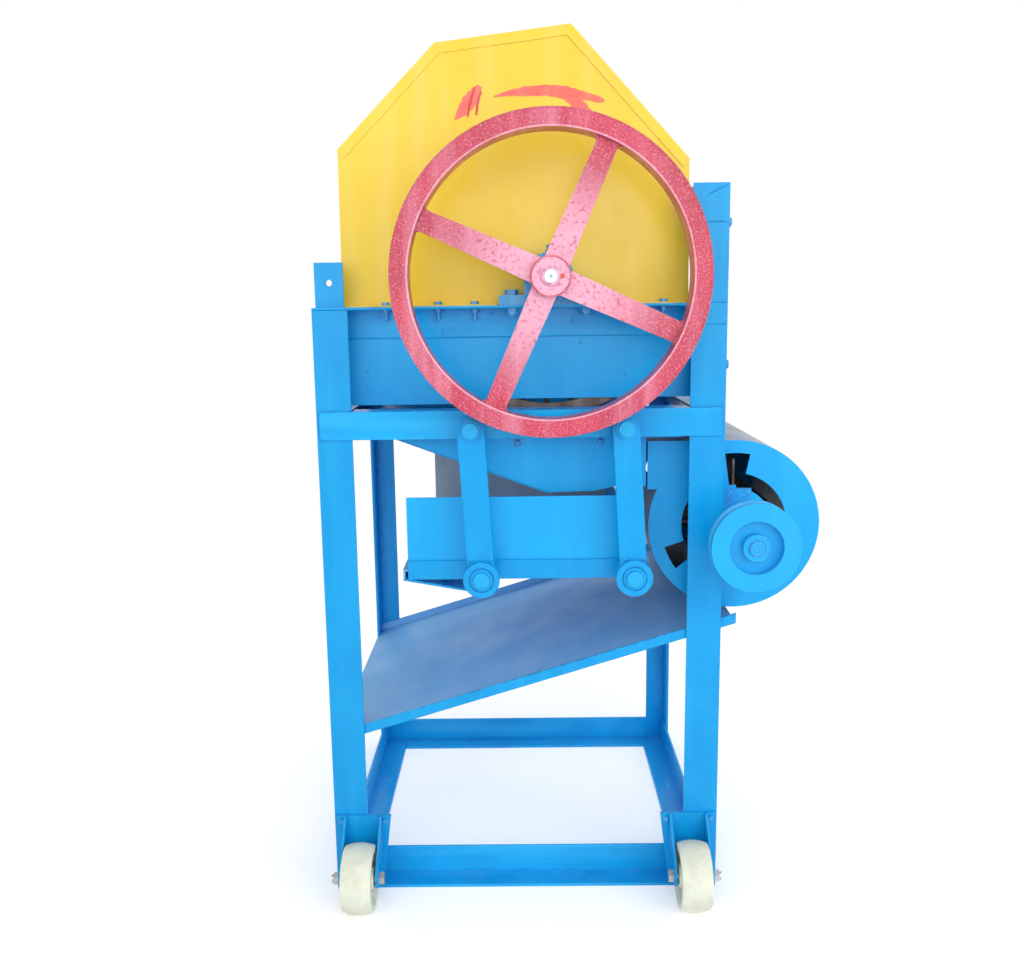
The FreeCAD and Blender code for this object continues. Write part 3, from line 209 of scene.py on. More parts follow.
def wear_group() -> NodeTree:
    """Paint worn off along edges, broken up by noise.

    Returns:
        A group that gives Mask, 1 where the paint has gone, and Rim, 1 near any edge.
    """
    b = GroupBuilder("EdgeWear")
    b.takes("Width", 0.0025)
    b.takes("Amount", 0.4)
    soft = b.node("Bevel", {"Radius": b.enter.outputs["Width"]}, samples=6).outputs["Normal"]
    sharp = b.node("NewGeometry").outputs["Normal"]
    alike = b.node("VectorMath", {0: soft, 1: sharp}, operation="DOT_PRODUCT").outputs["Value"]
    rim = b.math("MULTIPLY", b.math("SUBTRACT", 1.0, alike, True), 4.0, True)
    worn = b.math("MULTIPLY", rim, b.enter.outputs["Amount"])
    broken = b.math("ADD", worn, b.noise(b.place(), 55.0, 5.0, 0.7))
    b.gives("Mask", b.ramp(broken, 0.78, 0.9))
    b.gives("Rim", rim)
    return b.tree


def dust_group() -> NodeTree:
    """Pale dust that settles on faces turned up.

    Returns:
        A group that gives Dust, between 0 and 1.
    """
    b = GroupBuilder("Dust")
    b.takes("Amount", 0.4)
    normal = b.node("NewGeometry").outputs["Normal"]
    up = b.math("MAXIMUM", b.node("SeparateXYZ", {0: normal}).outputs["Z"], 0.06)
    patch = b.ramp(b.noise(b.place(), 16.0, 6.0, 0.7), 0.35, 0.75)
    fine = b.ramp(b.noise(b.place(), 190.0, 2.0, 0.6), 0.3, 0.8)
    lying = b.math("MULTIPLY", b.math("MULTIPLY", patch, fine), up)
    b.gives("Dust", b.math("MULTIPLY", lying, b.enter.outputs["Amount"], True))
    return b.tree


def grain_group() -> NodeTree:
    """Rough cast or rolled metal: a height and a speckle.

    Returns:
        A group that gives Height and Speckle.
    """
    b = GroupBuilder("CastGrain")
    b.takes("Scale", 300.0)
    size = b.enter.outputs["Scale"]
    cells = b.node("TexVoronoi", {"Vector": b.place(), "Scale": size}, feature="SMOOTH_F1")
    fine = b.noise(b.place(), size, 4.0, 0.65)
    b.gives("Height", b.math("ADD", cells.outputs["Distance"], fine))
    b.gives("Speckle", b.ramp(fine, 0.5, 0.66))
    return b.tree


class Groups:
    """The shared node groups, each built once."""

    def __init__(self) -> None:
        """Builds every group."""
        self.mottle = mottle_group()
        self.wear = wear_group()
        self.dust = dust_group()
        self.grain = grain_group()


class MaterialBuilder(NodeBuilder):
    """Builds one material round a Principled BSDF, out of groups and plain nodes."""

    def __init__(self, name: str) -> None:
        """Starts a material called name."""
        self.material = bpy.data.materials.new(name)
        self.material.use_nodes = True
        super().__init__(self.material.node_tree)
        self.shader = self.tree.nodes["Principled BSDF"]

    def group(self, tree: NodeTree, **values: object) -> Node:
        """Places a group and sets its inputs."""
        return self.node("Group", {key.title(): value for key, value in values.items()}, node_tree=tree)

    def mix(self, factor: Socket, first: object, second: object) -> Socket:
        """Mixes two colours by a factor.

        Args:
            factor: The share of the second colour.
            first: The colour at 0, a socket or three numbers.
            second: The colour at 1, a socket or three numbers.

        Returns:
            The mixed colour's socket.
        """
        made = self.node("Mix", data_type="RGBA")
        sockets = [s for s in made.inputs if s.enabled]
        for socket, value in zip(sockets, (factor, first, second)):
            self.put(socket, value if isinstance(value, Socket) else (*value, 1.0))
        return next(s for s in made.outputs if s.enabled)

    def bump(self, height: Socket, strength: float, distance: float) -> None:
        """Feeds a height to the shader's normal."""
        made = self.node("Bump", {"Strength": strength, "Distance": distance, "Height": height})
        self.feed(normal=made.outputs["Normal"])

    def near_axis(self, x: float, z: float, inner: float, outer: float) -> Socket:
        """Makes a mask around an axis that runs along y.

        Args:
            x: The axis's x in metres.
            z: Its z in metres.
            inner: The radius up to which the mask is 1.
            outer: The radius from which it is 0.

        Returns:
            The mask.
        """
        flat = self.node("VectorMath", {0: self.place(), 1: (1.0, 0.0, 1.0)}, operation="MULTIPLY")
        reach = self.node("VectorMath", {0: flat.outputs["Vector"], 1: (x, 0.0, z)}, operation="DISTANCE")
        return self.ramp(reach.outputs["Value"], inner, outer, fall=True)

    def feed(self, **sockets: object) -> None:
        """Sets or links shader inputs, named in words joined by underscores."""
        for key, value in sockets.items():
            self.put(self.shader.inputs[key.replace("_", " ").title().replace("Ior", "IOR")], value)


# The colours of dust as it lies on paint and on metal, linear.
PAINT_DUST = (0.55, 0.50, 0.42)
METAL_DUST = (0.5, 0.45, 0.38)


@dataclass(frozen=True)
class Paint:
    """A brushed gloss paint over steel or cast iron.

    Attributes:
        name: The material's name.
        colour: The paint's colour, linear.
        deep: Its colour in thick or shaded patches.
        pale: Its colour where it is thin, washed out or chalky.
        under: The metal or primer under it.
        rough: Its lowest and highest roughness.
        wear: How far it is worn off along edges.
        dust: How much dust lies on it.
        cast: Strength of a cast surface under it.
        cloud: Scale of its clouds.
        streak: Strength of its pale streaks.
        coat: Weight of its clear coat.
        grain: Scale of the cast surface.
        run: The way its streaks run.
        sheen: Its specular level.
        highlight_colour: Its colour in a painted highlight round an axis along y, paled as if shining back a
            lamp near the camera.
        highlight_spot: That axis's x and z and the painted highlight's inner and outer radius, in metres.
    """

    name: str
    colour: Colour
    deep: Colour
    pale: Colour
    under: Colour = (0.12, 0.10, 0.09)
    rough: tuple[float, float] = (0.22, 0.42)
    wear: float = 0.35
    dust: float = 0.35
    cast: float = 0.0
    cloud: float = 9.0
    streak: float = 0.45
    coat: float = 0.35
    grain: float = 230.0
    run: Run = Run.DOWN
    sheen: float = 0.25
    highlight_colour: Colour = (0.9, 0.9, 0.9)
    highlight_spot: tuple[float, float, float, float] | None = None

    def build(self, groups: Groups) -> Material:
        """Makes the material.

        Args:
            groups: The shared node groups.

        Returns:
            The finished material.
        """
        m = MaterialBuilder(self.name)
        mottle = m.group(groups.mottle, scale=self.cloud, stretch=self.run.value)
        wear = m.group(groups.wear, amount=self.wear)
        dust = m.group(groups.dust, amount=self.dust)
        colour = m.mix(m.scale(mottle.outputs["Clouds"], 0.0, 0.7), self.colour, self.deep)
        colour = m.mix(m.scale(mottle.outputs["Streaks"], 0.0, self.streak), colour, self.pale)
        colour = m.mix(m.scale(wear.outputs["Rim"], 0.0, 0.35), colour, self.pale)
        if self.cast:
            grain = m.group(groups.grain, scale=self.grain)
            colour = m.mix(m.scale(grain.outputs["Speckle"], 0.0, 0.55), colour, self.pale)
            m.bump(grain.outputs["Height"], self.cast, 0.0012)
        else:
            m.bump(mottle.outputs["Film"], 0.35, 0.0009)
        colour = m.mix(wear.outputs["Mask"], colour, self.under)
        colour = m.mix(dust.outputs["Dust"], colour, PAINT_DUST)
        # Painted highlight: round the axis the colour is paled towards the highlight's colour, broken up by
        # cast flecks, in place of a lamp's sheen.
        if self.highlight_spot:
            flecks = m.group(groups.grain, scale=self.grain * 0.5)
            left = m.scale(flecks.outputs["Speckle"], 0.8, 0.0)
            patch = m.math("MULTIPLY", m.near_axis(*self.highlight_spot), left)
            colour = m.mix(patch, colour, self.highlight_colour)
        m.feed(base_color=colour, roughness=m.scale(mottle.outputs["Clouds"], *self.rough))
        m.feed(coat_weight=self.coat, coat_roughness=0.16, specular_ior_level=self.sheen)
        return m.material


@dataclass(frozen=True)
class BareMetal:
    """Bare or plated metal.

    Attributes:
        name: The material's name.
        colour: The metal's colour, linear.
        stain: Its colour where it is dull or rusty.
        rough: Its lowest and highest roughness.
        metallic: How metallic it is.
        stain_amount: How far it is stained.
    """

    name: str
    colour: Colour
    stain: Colour
    rough: tuple[float, float] = (0.25, 0.5)
    metallic: float = 1.0
    stain_amount: float = 0.6

    def build(self, groups: Groups) -> Material:
        """Makes the material.

        Args:
            groups: The shared node groups.

        Returns:
            The finished material.
        """
        m = MaterialBuilder(self.name)
        mottle = m.group(groups.mottle, scale=42.0)
        grain = m.group(groups.grain, scale=900.0)
        dust = m.group(groups.dust, amount=0.3)
        colour = m.mix(m.scale(mottle.outputs["Clouds"], 0.0, self.stain_amount), self.colour, self.stain)
        colour = m.mix(m.scale(grain.outputs["Speckle"], 0.0, 0.25), colour, self.stain)
        colour = m.mix(dust.outputs["Dust"], colour, METAL_DUST)
        rough = m.scale(mottle.outputs["Clouds"], *self.rough)
        m.feed(base_color=colour, roughness=rough, metallic=self.metallic)
        m.bump(grain.outputs["Height"], 0.2, 0.0003)
        return m.material


@dataclass(frozen=True)
class Nylon:
    """Cream cast nylon with a scuffed tread.

    Attributes:
        name: The material's name.
        colour: Its colour, linear.
        scuff: Its colour where it is dirty.
    """

    name: str
    colour: Colour = (0.79, 0.82, 0.68)
    scuff: Colour = (0.40, 0.38, 0.28)

    def build(self, groups: Groups) -> Material:
        """Makes the material.

        Args:
            groups: The shared node groups.

        Returns:
            The finished material.
        """
        m = MaterialBuilder(self.name)
        mottle = m.group(groups.mottle, scale=30.0)
        grain = m.group(groups.grain, scale=420.0)
        dirt = m.scale(mottle.outputs["Clouds"], 0.0, 0.3)
        colour = m.mix(dirt, self.colour, self.scuff)
        colour = m.mix(m.scale(grain.outputs["Speckle"], 0.0, 0.18), colour, self.scuff)
        m.feed(base_color=colour, roughness=m.scale(mottle.outputs["Clouds"], 0.35, 0.6))
        m.feed(subsurface_weight=0.12, subsurface_scale=0.01)
        m.bump(grain.outputs["Height"], 0.15, 0.0004)
        return m.material


BLUE = Paint("Blue paint", (0.001, 0.335, 0.740), (0.001, 0.285, 0.670), (0.012, 0.410, 0.790),
             under=(0.006, 0.10, 0.33), dust=0.12, streak=0.5, coat=0.08)
BLUE_RAIL = replace(BLUE, name="Blue paint along the rails", run=Run.ALONG, streak=0.75,
                    colour=(0.002, 0.390, 0.820), pale=(0.025, 0.450, 0.840))
BLUE_SIDE = replace(BLUE_RAIL, name="Blue paint along the side rails", run=Run.ACROSS)
BLUE_SHEET = Paint("Blue sheet paint", (0.006, 0.400, 0.830), (0.003, 0.350, 0.770), (0.03, 0.47, 0.86),
                   under=(0.03, 0.14, 0.36), wear=0.2, cloud=5.0, dust=0.08, streak=0.25, coat=0.1)
BLUE_SMOOTH = Paint("Blue smooth paint", (0.008, 0.400, 0.780), (0.005, 0.350, 0.730), (0.05, 0.48, 0.84),
                    under=(0.03, 0.14, 0.36), wear=0.2, cloud=8.0, dust=0.1, streak=0.2, coat=0.2)
BLUE_CAST = Paint("Blue cast paint", (0.012, 0.340, 0.760), (0.004, 0.180, 0.500), (0.14, 0.50, 0.82),
                  cast=0.35, wear=0.3)
BLUE_DULL = Paint("Blue grey inner paint", (0.20, 0.50, 0.86), (0.17, 0.45, 0.80), (0.27, 0.56, 0.88),
                  under=(0.20, 0.24, 0.30), rough=(0.4, 0.65), dust=0.15, streak=0.2, coat=0.0,
                  run=Run.ACROSS)
WORN = Paint("Wall worn by nuts", (0.46, 0.52, 0.56), (0.34, 0.41, 0.47), (0.60, 0.63, 0.64),
             under=(0.20, 0.24, 0.28), rough=(0.4, 0.6), wear=0.2, dust=0.3, coat=0.0)
YELLOW = Paint("Yellow paint", (0.87, 0.64, 0.045), (0.80, 0.56, 0.035), (0.91, 0.76, 0.30),
               under=(0.34, 0.26, 0.12), wear=0.25, cloud=4.0, dust=0.05, streak=0.2, coat=0.12, sheen=0.3)
WHEEL_AXIS = at(DRUM_X, 0.0, DRUM_Z)
# Red wheel paint with a painted highlight: paled pink round the wheel's axis over the hub and spokes.
RED = Paint("Red cast paint", (0.56, 0.022, 0.070), (0.36, 0.010, 0.036), (0.82, 0.34, 0.48),
            under=(0.20, 0.05, 0.06), cast=0.8, wear=0.4, rough=(0.28, 0.46), cloud=14.0, dust=0.05,
            grain=380.0, coat=0.25, sheen=0.5, highlight_colour=(0.84, 0.42, 0.58),
            highlight_spot=(WHEEL_AXIS.x, WHEEL_AXIS.z, 0.05, 0.18))
# The hub's edge keeps the darker red, without the painted highlight.
RED_EDGE = replace(RED, name="Red paint along the hub's edge", highlight_spot=None)
# A paler pink for the rim's inner rolled edge: a painted highlight, the white line a lamp leaves along that
# edge.
RED_ROLL_HIGHLIGHT = replace(RED, name="Red paint on the rim's rolled edge", colour=(0.80, 0.27, 0.38),
                   deep=(0.62, 0.12, 0.20), pale=(0.92, 0.60, 0.70), cast=0.3)
RED_MARK = Paint("Red brushed mark", (0.90, 0.16, 0.12), (0.82, 0.09, 0.08), (0.94, 0.36, 0.16), wear=0.0,
                 cloud=40.0, streak=0.3)
RED_RUN = Paint("Red paint run", (0.70, 0.035, 0.035), (0.50, 0.015, 0.02), (0.86, 0.20, 0.16), wear=0.0)
GREY_SHEET = Paint("Grey blue sheet paint", (0.30, 0.36, 0.46), (0.24, 0.30, 0.40), (0.42, 0.46, 0.54),
                   under=(0.20, 0.22, 0.26), rough=(0.35, 0.6), wear=0.2, dust=0.2, streak=0.3, coat=0.1)
ZINC = BareMetal("Zinc plate", (0.60, 0.61, 0.62), (0.30, 0.28, 0.22))
STEEL = BareMetal("Turned steel", (0.52, 0.53, 0.55), (0.22, 0.15, 0.09), rough=(0.2, 0.45))
TURNED_END = BareMetal("Painted shaft end", (0.62, 0.74, 0.74), (0.30, 0.44, 0.46), rough=(0.3, 0.5),
                       metallic=0.2)
DARK_STEEL = BareMetal("Dull mild steel", (0.16, 0.15, 0.145), (0.13, 0.075, 0.045), rough=(0.45, 0.75),
                       metallic=0.7, stain_amount=0.9)
NYLON = Nylon("Cream nylon")


class Finishes:
    """Every finish of the machine, made once, and which CAD node takes which."""

    SLOT_FINISH = {
        "blue_paint": BLUE, "yellow_paint": YELLOW, "red_paint": RED, "cast_blue": BLUE_CAST,
        "nylon": NYLON, "zinc": ZINC, "steel": STEEL, "dark_steel": DARK_STEEL,
    }
    NODE_FINISH = {
        "casing_plates": BLUE_SHEET, "hopper_plates": BLUE_SHEET, "sieve_walls": BLUE_SHEET,
        "fan_end_front": BLUE_SHEET, "fan_end_back": BLUE_SHEET, "hood_bolts": BLUE_CAST,
        "pillow_block_bolts": BLUE_CAST, "link_pivot_pins": BLUE_SMOOTH, "sieve_pins": BLUE_SMOOTH,
        "castor_fixings": BLUE_CAST, "front_mid_rail": BLUE_RAIL, "back_mid_rail": BLUE_RAIL,
        "front_top_rail": BLUE_RAIL, "back_top_rail": BLUE_RAIL, "front_base_rail": BLUE_RAIL,
        "back_base_rail": BLUE_RAIL, "side_base_rails": BLUE_SIDE, "side_mid_rails": BLUE_SIDE,
        "side_top_rails": BLUE_SIDE, "fan_wrapper": GREY_SHEET, "chute": BLUE_DULL,
        "sieve_screen": BLUE_DULL, "fan_pulley": BLUE_SMOOTH, "fan_shaft": BLUE_CAST,
        "drum_shaft": BLUE_CAST,
    }

    def __init__(self) -> None:
        """Builds the shared groups; materials are built when first asked for."""
        self.groups = Groups()
        self.made: dict[str, Material] = {}

    def get(self, finish: Paint | BareMetal | Nylon) -> Material:
        """Returns a finish's material, building it the first time."""
        if finish.name not in self.made:
            self.made[finish.name] = finish.build(self.groups)
        return self.made[finish.name]

    def dress_cad(self) -> None:
        """Gives every CAD node its finish."""
        slots = {part["node"]: part["material_slot"] for part in frame["record"]["subparts"]}
        for name, node in frame["nodes"].items():
            finish = self.NODE_FINISH.get(name, self.SLOT_FINISH[slots[name]])
            material = self.get(finish)
            node.data.materials.clear()
            node.data.materials.append(material)
            log.info("dressed %s in %s", name, finish.name)


class Shape:
    """One piece in the making: a bmesh drawn in millimetres from the middle of the posts.

    Attributes:
        RAGGED: The share by which a stroke's width wavers.
        RIPPLE: The share by which a weld bead swells and shrinks.
        RIPPLE_STEP: The distance between a bead's ripples, in radii.
        ROUNDED_ANGLE: The angle in radians from which soften rounds an edge.
        SHARP_ANGLE: The angle in degrees from which an edge is shaded sharp.
    """

    RAGGED = 0.08
    RIPPLE = 0.16
    RIPPLE_STEP = 1.1
    ROUNDED_ANGLE = 0.6
    SHARP_ANGLE = 35.0

    def __init__(self, name: str) -> None:
        """Starts an empty piece called name."""
        self.name = name
        self.mesh = bmesh.new()

    def rod(self, start: Point, end: Point, radius: float, tip: float | None = None,
            sides: int = 24) -> None:
        """Adds a capped rod or cone.

        Args:
            start: The middle of its first end.
            end: The middle of its other end.
            radius: Its radius at the start.
            tip: Its radius at the end, the same as radius when left out.
            sides: The number of its sides.
        """
        first, last = Vector(start), Vector(end)
        axis = last - first
        turn = axis.to_track_quat("Z", "Y").to_matrix().to_4x4()
        bmesh.ops.create_cone(self.mesh, cap_ends=True, segments=sides, radius1=radius,
                              radius2=radius if tip is None else tip, depth=axis.length,
                              matrix=Matrix.Translation((first + last) / 2) @ turn)

    def block(self, low: Point, high: Point) -> None:
        """Adds a box between two corners."""
        first, last = Vector(low), Vector(high)
        size = Matrix.Diagonal((*(last - first), 1.0))
        bmesh.ops.create_cube(self.mesh, size=1.0, matrix=Matrix.Translation((first + last) / 2) @ size)

    def ball(self, centre: Point, radius: float, squash: float = 1.0) -> None:
        """Adds a ball, or a drop where squash stretches it downwards."""
        shape = Matrix.Translation(Vector(centre)) @ Matrix.Diagonal((1.0, 1.0, squash, 1.0))
        bmesh.ops.create_icosphere(self.mesh, subdivisions=2, radius=radius, matrix=shape)

    def ring(self, centre: Point, profile: Sequence[tuple[float, float]], sides: int = 64) -> None:
        """Adds a solid ring about an axis along y.

        Args:
            centre: The middle of the ring.
            profile: Its section, as radius and distance along y, closed on itself.
            sides: The number of steps round it.
        """
        middle = Vector(centre)
        corners = [self.mesh.verts.new(middle + Vector((r, y, 0.0))) for r, y in profile]
        edges = [self.mesh.edges.new((corners[i - 1], corners[i])) for i in range(len(corners))]
        bmesh.ops.spin(self.mesh, geom=corners + edges, cent=middle, axis=(0.0, 1.0, 0.0),
                       angle=math.tau, steps=sides, use_merge=True)
        bmesh.ops.remove_doubles(self.mesh, verts=self.mesh.verts, dist=0.001)

    def stroke(self, path: Stroke, y: float, thick: float, steps: int = 28) -> None:
        """Adds a flat brush stroke that lies on a face square to y.

        Args:
            path: Points of its middle line as x, z and width.
            y: Where the face is.
            thick: The thickness of the paint.
            steps: The number of steps along it.
        """
        made = bmesh.ops.create_grid(self.mesh, x_segments=steps, y_segments=2, size=1.0)["verts"]
        for vert in made:
            along = (vert.co.x + 1.0) / 2.0 * (len(path) - 1)
            first = min(int(along), len(path) - 2)
            share = along - first
            (x0, z0, w0), (x1, z1, w1) = path[first], path[first + 1]
            across = Vector((z0 - z1, x1 - x0)).normalized()
            ragged = 1.0 + self.RAGGED * math.sin(along * 9.0 + vert.co.y * 2.0)
            reach = (w0 + (w1 - w0) * share) / 2.0 * vert.co.y * ragged
            vert.co = Vector((x0 + (x1 - x0) * share + across.x * reach, y,
                              z0 + (z1 - z0) * share + across.y * reach))
        faces = list({face for vert in made for face in vert.link_faces})
        grown = bmesh.ops.extrude_face_region(self.mesh, geom=faces, use_keep_orig=True)["geom"]
        raised = [item for item in grown if isinstance(item, bmesh.types.BMVert)]
        bmesh.ops.translate(self.mesh, verts=raised, vec=(0.0, -thick, 0.0))

    def bead(self, start: Point, end: Point, radius: float) -> None:
        """Adds a rippled weld bead from start to end."""
        first, last = Vector(start), Vector(end)
        count = max(3, int((last - first).length / (radius * self.RIPPLE_STEP)))
        for step in range(count + 1):
            size = radius * (1.0 + self.RIPPLE * math.sin(step * 2.4 + first.x))
            bmesh.ops.create_icosphere(self.mesh, subdivisions=1, radius=size,
                                       matrix=Matrix.Translation(first.lerp(last, step / count)))

    def soften(self, width: float, segments: int = 2) -> None:
        """Rounds every sharp edge."""
        sharp = [e for e in self.mesh.edges if e.is_manifold and e.calc_face_angle(0.0) > self.ROUNDED_ANGLE]
        bmesh.ops.bevel(self.mesh, geom=sharp, offset=width, offset_type="OFFSET", segments=segments,
                        profile=0.5, affect="EDGES", material=-1, clamp_overlap=True)

    def finish(self, body: Body, slot: str, material: Material) -> bpy.types.Object:
        """Makes the object, puts its place in its mesh and lets it ride.

        Args:
            body: The body it moves with.
            slot: The record's material slot; not used.
            material: What it is made of.

        Returns:
            The finished object.
        """
        bmesh.ops.recalc_face_normals(self.mesh, faces=self.mesh.faces)
        for vert in self.mesh.verts:
            vert.co = at(*vert.co)
        for face in self.mesh.faces:
            face.smooth = True
        data = bpy.data.meshes.new(self.name)
        self.mesh.to_mesh(data)
        self.mesh.free()
        data.set_sharp_from_angle(angle=math.radians(self.SHARP_ANGLE))
        data.materials.append(material)
        made = bpy.data.objects.new(self.name, data)
        bpy.context.scene.collection.objects.link(made)
        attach(made, body.value)
        log.info("built %s on %s", self.name, body.value)
        return made


def round_section(radius: float, size: float, count: int) -> tuple[tuple[float, float], ...]:
    """A round section for Shape.ring.

    Args:
        radius: The distance of its middle from the ring's axis.
        size: Its own radius.
        count: The number of its corners.

    Returns:
        The corners, as radius and distance along y.
    """
    turns = (math.tau * step / count for step in range(count))
    return tuple((radius + size * math.cos(turn), size * math.sin(turn)) for turn in turns)


@dataclass
class HoodMarks:
    """The rotation arrow brushed on the hood's front by hand."""

    face: float = -222.05
    thick: float = 0.3
    marks_lift: float = 0.42
    arc: Stroke = (
        (-32.0, 1168.0, 2.0), (-14.0, 1172.0, 7.0), (12.0, 1174.5, 13.0), (45.0, 1175.5, 15.0),
        (67.0, 1172.0, 18.0), (82.0, 1169.5, 14.0), (100.0, 1166.0, 10.0), (114.0, 1162.0, 9.0),
        (122.0, 1160.0, 4.0))
    branch: Stroke = (
        (66.0, 1170.0, 10.0), (80.0, 1161.0, 16.0), (92.0, 1152.0, 14.0), (102.0, 1142.0, 10.0),
        (108.0, 1135.0, 4.0))
    head: Stroke = (
        (-87.0, 1138.0, 1.5), (-76.0, 1149.0, 15.0), (-67.0, 1161.0, 20.0), (-58.0, 1172.0, 17.0),
        (-51.0, 1183.0, 7.0))
    marks: tuple[Stroke, ...] = (
        ((-68.5, 1141.0, 2.0), (-65.0, 1160.0, 4.0), (-58.0, 1181.0, 3.0)),
        ((-56.5, 1144.0, 3.0), (-54.0, 1162.0, 4.0), (-49.0, 1176.0, 2.5)))

    def build(self, finishes: Finishes) -> None:
        """Makes the strokes, the thicker ones over the thin ones, and dresses them in red."""
        shape = Shape("hood_arrow")
        for path, lift in ((self.arc, 0.0), (self.branch, 0.05), (self.head, 0.1)):
            shape.stroke(path, self.face - lift, self.thick)
        shape.finish(Body.FRAME, "red_paint", finishes.get(RED_MARK))
        runs = Shape("hood_arrow_marks")
        for path in self.marks:
            runs.stroke(path, self.face - self.marks_lift, self.thick)
        runs.finish(Body.FRAME, "red_paint", finishes.get(RED_RUN))


@dataclass
class BearingTrim:
    """The grease nipples on top of the drum shaft's bearings."""

    y: float = 247.5
    block_top: float = DRUM_Z + 35.0
    sunk: float = 1.5
    hexagon: float = 5.0
    hexagon_height: float = 4.0
    neck: tuple[float, float] = (2.6, 2.2)
    neck_height: float = 4.0
    tip: float = 3.0

    def build(self, finishes: Finishes) -> None:
        """Makes a hexagon, a neck and a round tip on each of the two blocks."""
        shape = Shape("grease_nipples")
        seat = self.block_top + self.hexagon_height
        neck_top = seat + self.neck_height
        for y in (-self.y, self.y):
            shape.rod((DRUM_X, y, self.block_top - self.sunk), (DRUM_X, y, seat), self.hexagon, sides=6)
            shape.rod((DRUM_X, y, seat), (DRUM_X, y, neck_top), *self.neck)
            shape.ball((DRUM_X, y, neck_top + 1.0), self.tip)
        shape.finish(Body.FRAME, "zinc", finishes.get(BLUE_CAST))


@dataclass
class WheelTrim:
    """What sits on the belt wheel: the shaft's end, its key, the rolled edges and the set screw."""

    shaft_front: float = -355.0
    shaft_radius: float = 12.5
    face_radius: float = 8.2
    rim_front: float = -347.6
    rim_inside: float = 189.6
    rim_outside: float = 211.6
    hub_front: float = -351.6
    hub_radius: float = 25.9
    key_half_height: float = 3.0
    key_length: float = 6.5
    screw_y: float = -300.0
    screw_rise: tuple[float, float] = (25.0, 34.0)
    screw_radius: float = 5.0

    def build(self, finishes: Finishes) -> None:
        """Makes every piece, all of them on the drum."""
        self.build_shaft_end(finishes)
        self.build_key(finishes)
        self.build_rolls(finishes)
        self.build_screw(finishes)

    def build_shaft_end(self, finishes: Finishes) -> None:
        """Makes the bare face with its centre hole, and the ring of paint round it."""
        middle = (DRUM_X, self.shaft_front, DRUM_Z)
        edge = self.face_radius + 0.8
        end = Shape("drum_shaft_end")
        end.ring(middle, ((0.01, 0.4), (0.01, 0.1), (1.4, 0.1), (2.4, -0.8), (self.face_radius, -0.9),
                          (edge, -0.3), (edge, 0.4)))
        end.finish(Body.DRUM, "steel", finishes.get(TURNED_END))
        inner = self.face_radius + 0.9
        ring = Shape("drum_shaft_paint")
        ring.ring(middle, ((inner, 0.3), (inner, -0.5), (self.shaft_radius - 0.3, -0.3),
                           (self.shaft_radius + 0.2, 0.3)))
        ring.finish(Body.DRUM, "red_paint", finishes.get(RED))

    def build_key(self, finishes: Finishes) -> None:
        """Makes the key's end between the shaft and the hub."""
        left = DRUM_X + self.shaft_radius - 1.0
        key = Shape("drive_wheel_key")
        key.block((left, self.hub_front - 1.4, DRUM_Z - self.key_half_height),
                  (left + self.key_length, self.hub_front + 1.0, DRUM_Z + self.key_half_height))
        key.soften(0.5)
        key.finish(Body.DRUM, "red_paint", finishes.get(RED_RUN))

    def build_rolls(self, finishes: Finishes) -> None:
        """Makes the rounded edges of the rim and the hub; the rim's inner roll is paled pink as a painted
        highlight.
        """
        for name, radius, y, size, finish in (
                ("drive_wheel_inner_roll_highlight", self.rim_inside, self.rim_front, 1.5, RED_ROLL_HIGHLIGHT),
                ("drive_wheel_outer_roll", self.rim_outside, self.rim_front, 1.3, RED),
                ("drive_wheel_hub_roll", self.hub_radius, self.hub_front, 1.2, RED_EDGE)):
            roll = Shape(name)
            roll.ring((DRUM_X, y, DRUM_Z), round_section(radius, size, 10), 96)
            roll.finish(Body.DRUM, "red_paint", finishes.get(finish))

    def build_screw(self, finishes: Finishes) -> None:
        """Makes the set screw in the hub."""
        low, high = self.screw_rise
        screw = Shape("drive_wheel_screw")
        screw.rod((DRUM_X, self.screw_y, DRUM_Z + low), (DRUM_X, self.screw_y, DRUM_Z + high),
                  self.screw_radius, sides=6)
        screw.soften(0.6)
        screw.finish(Body.DRUM, "red_paint", finishes.get(RED))


@dataclass
class FanTrim:
    """The rings turned round the fan pulley's hub, and the centre of its shaft."""

    x: float = 316.0
    z: float = 555.0
    hub_front: float = -371.0
    shaft_front: float = -375.0
    rings: tuple[float, ...] = (12.5, 17.3)

    def build(self, finishes: Finishes) -> None:
        """Makes the rings and the centre mark."""
        shape = Shape("fan_pulley_rings")
        for radius in self.rings:
            shape.ring((self.x, self.hub_front, self.z), round_section(radius, 0.9, 8))
        centre_mark = ((2.2, 0.3), (2.4, -0.7), (4.4, -0.7), (4.8, 0.3))
        shape.ring((self.x, self.shaft_front, self.z), centre_mark, 32)
        shape.finish(Body.FAN, "cast_blue", finishes.get(BLUE_SMOOTH))


@dataclass
class HopperTrim:
    """The two small bolts in the hopper's front and back plates."""

    face: float = 225.0
    places: tuple[tuple[float, float], ...] = ((-4.0, 683.0), (116.0, 683.0))
    washer_radius: float = 7.0
    washer_top: float = 1.4
    head_radius: tuple[float, float] = (5.0, 3.0)
    head_top: float = 5.0
    sunk: float = 0.2

    def build(self, finishes: Finishes) -> None:
        """Makes a washer and a domed head at each place."""
        shape = Shape("hopper_bolts")
        for side in (-1.0, 1.0):
            seat, top = side * (self.face + self.washer_top), side * (self.face + self.head_top)
            for x, z in self.places:
                shape.rod((x, side * (self.face - self.sunk), z), (x, seat, z), self.washer_radius)
                shape.rod((x, seat, z), (x, top, z), *self.head_radius)
        shape.soften(0.4)
        shape.finish(Body.FRAME, "blue_paint", finishes.get(BLUE_CAST))


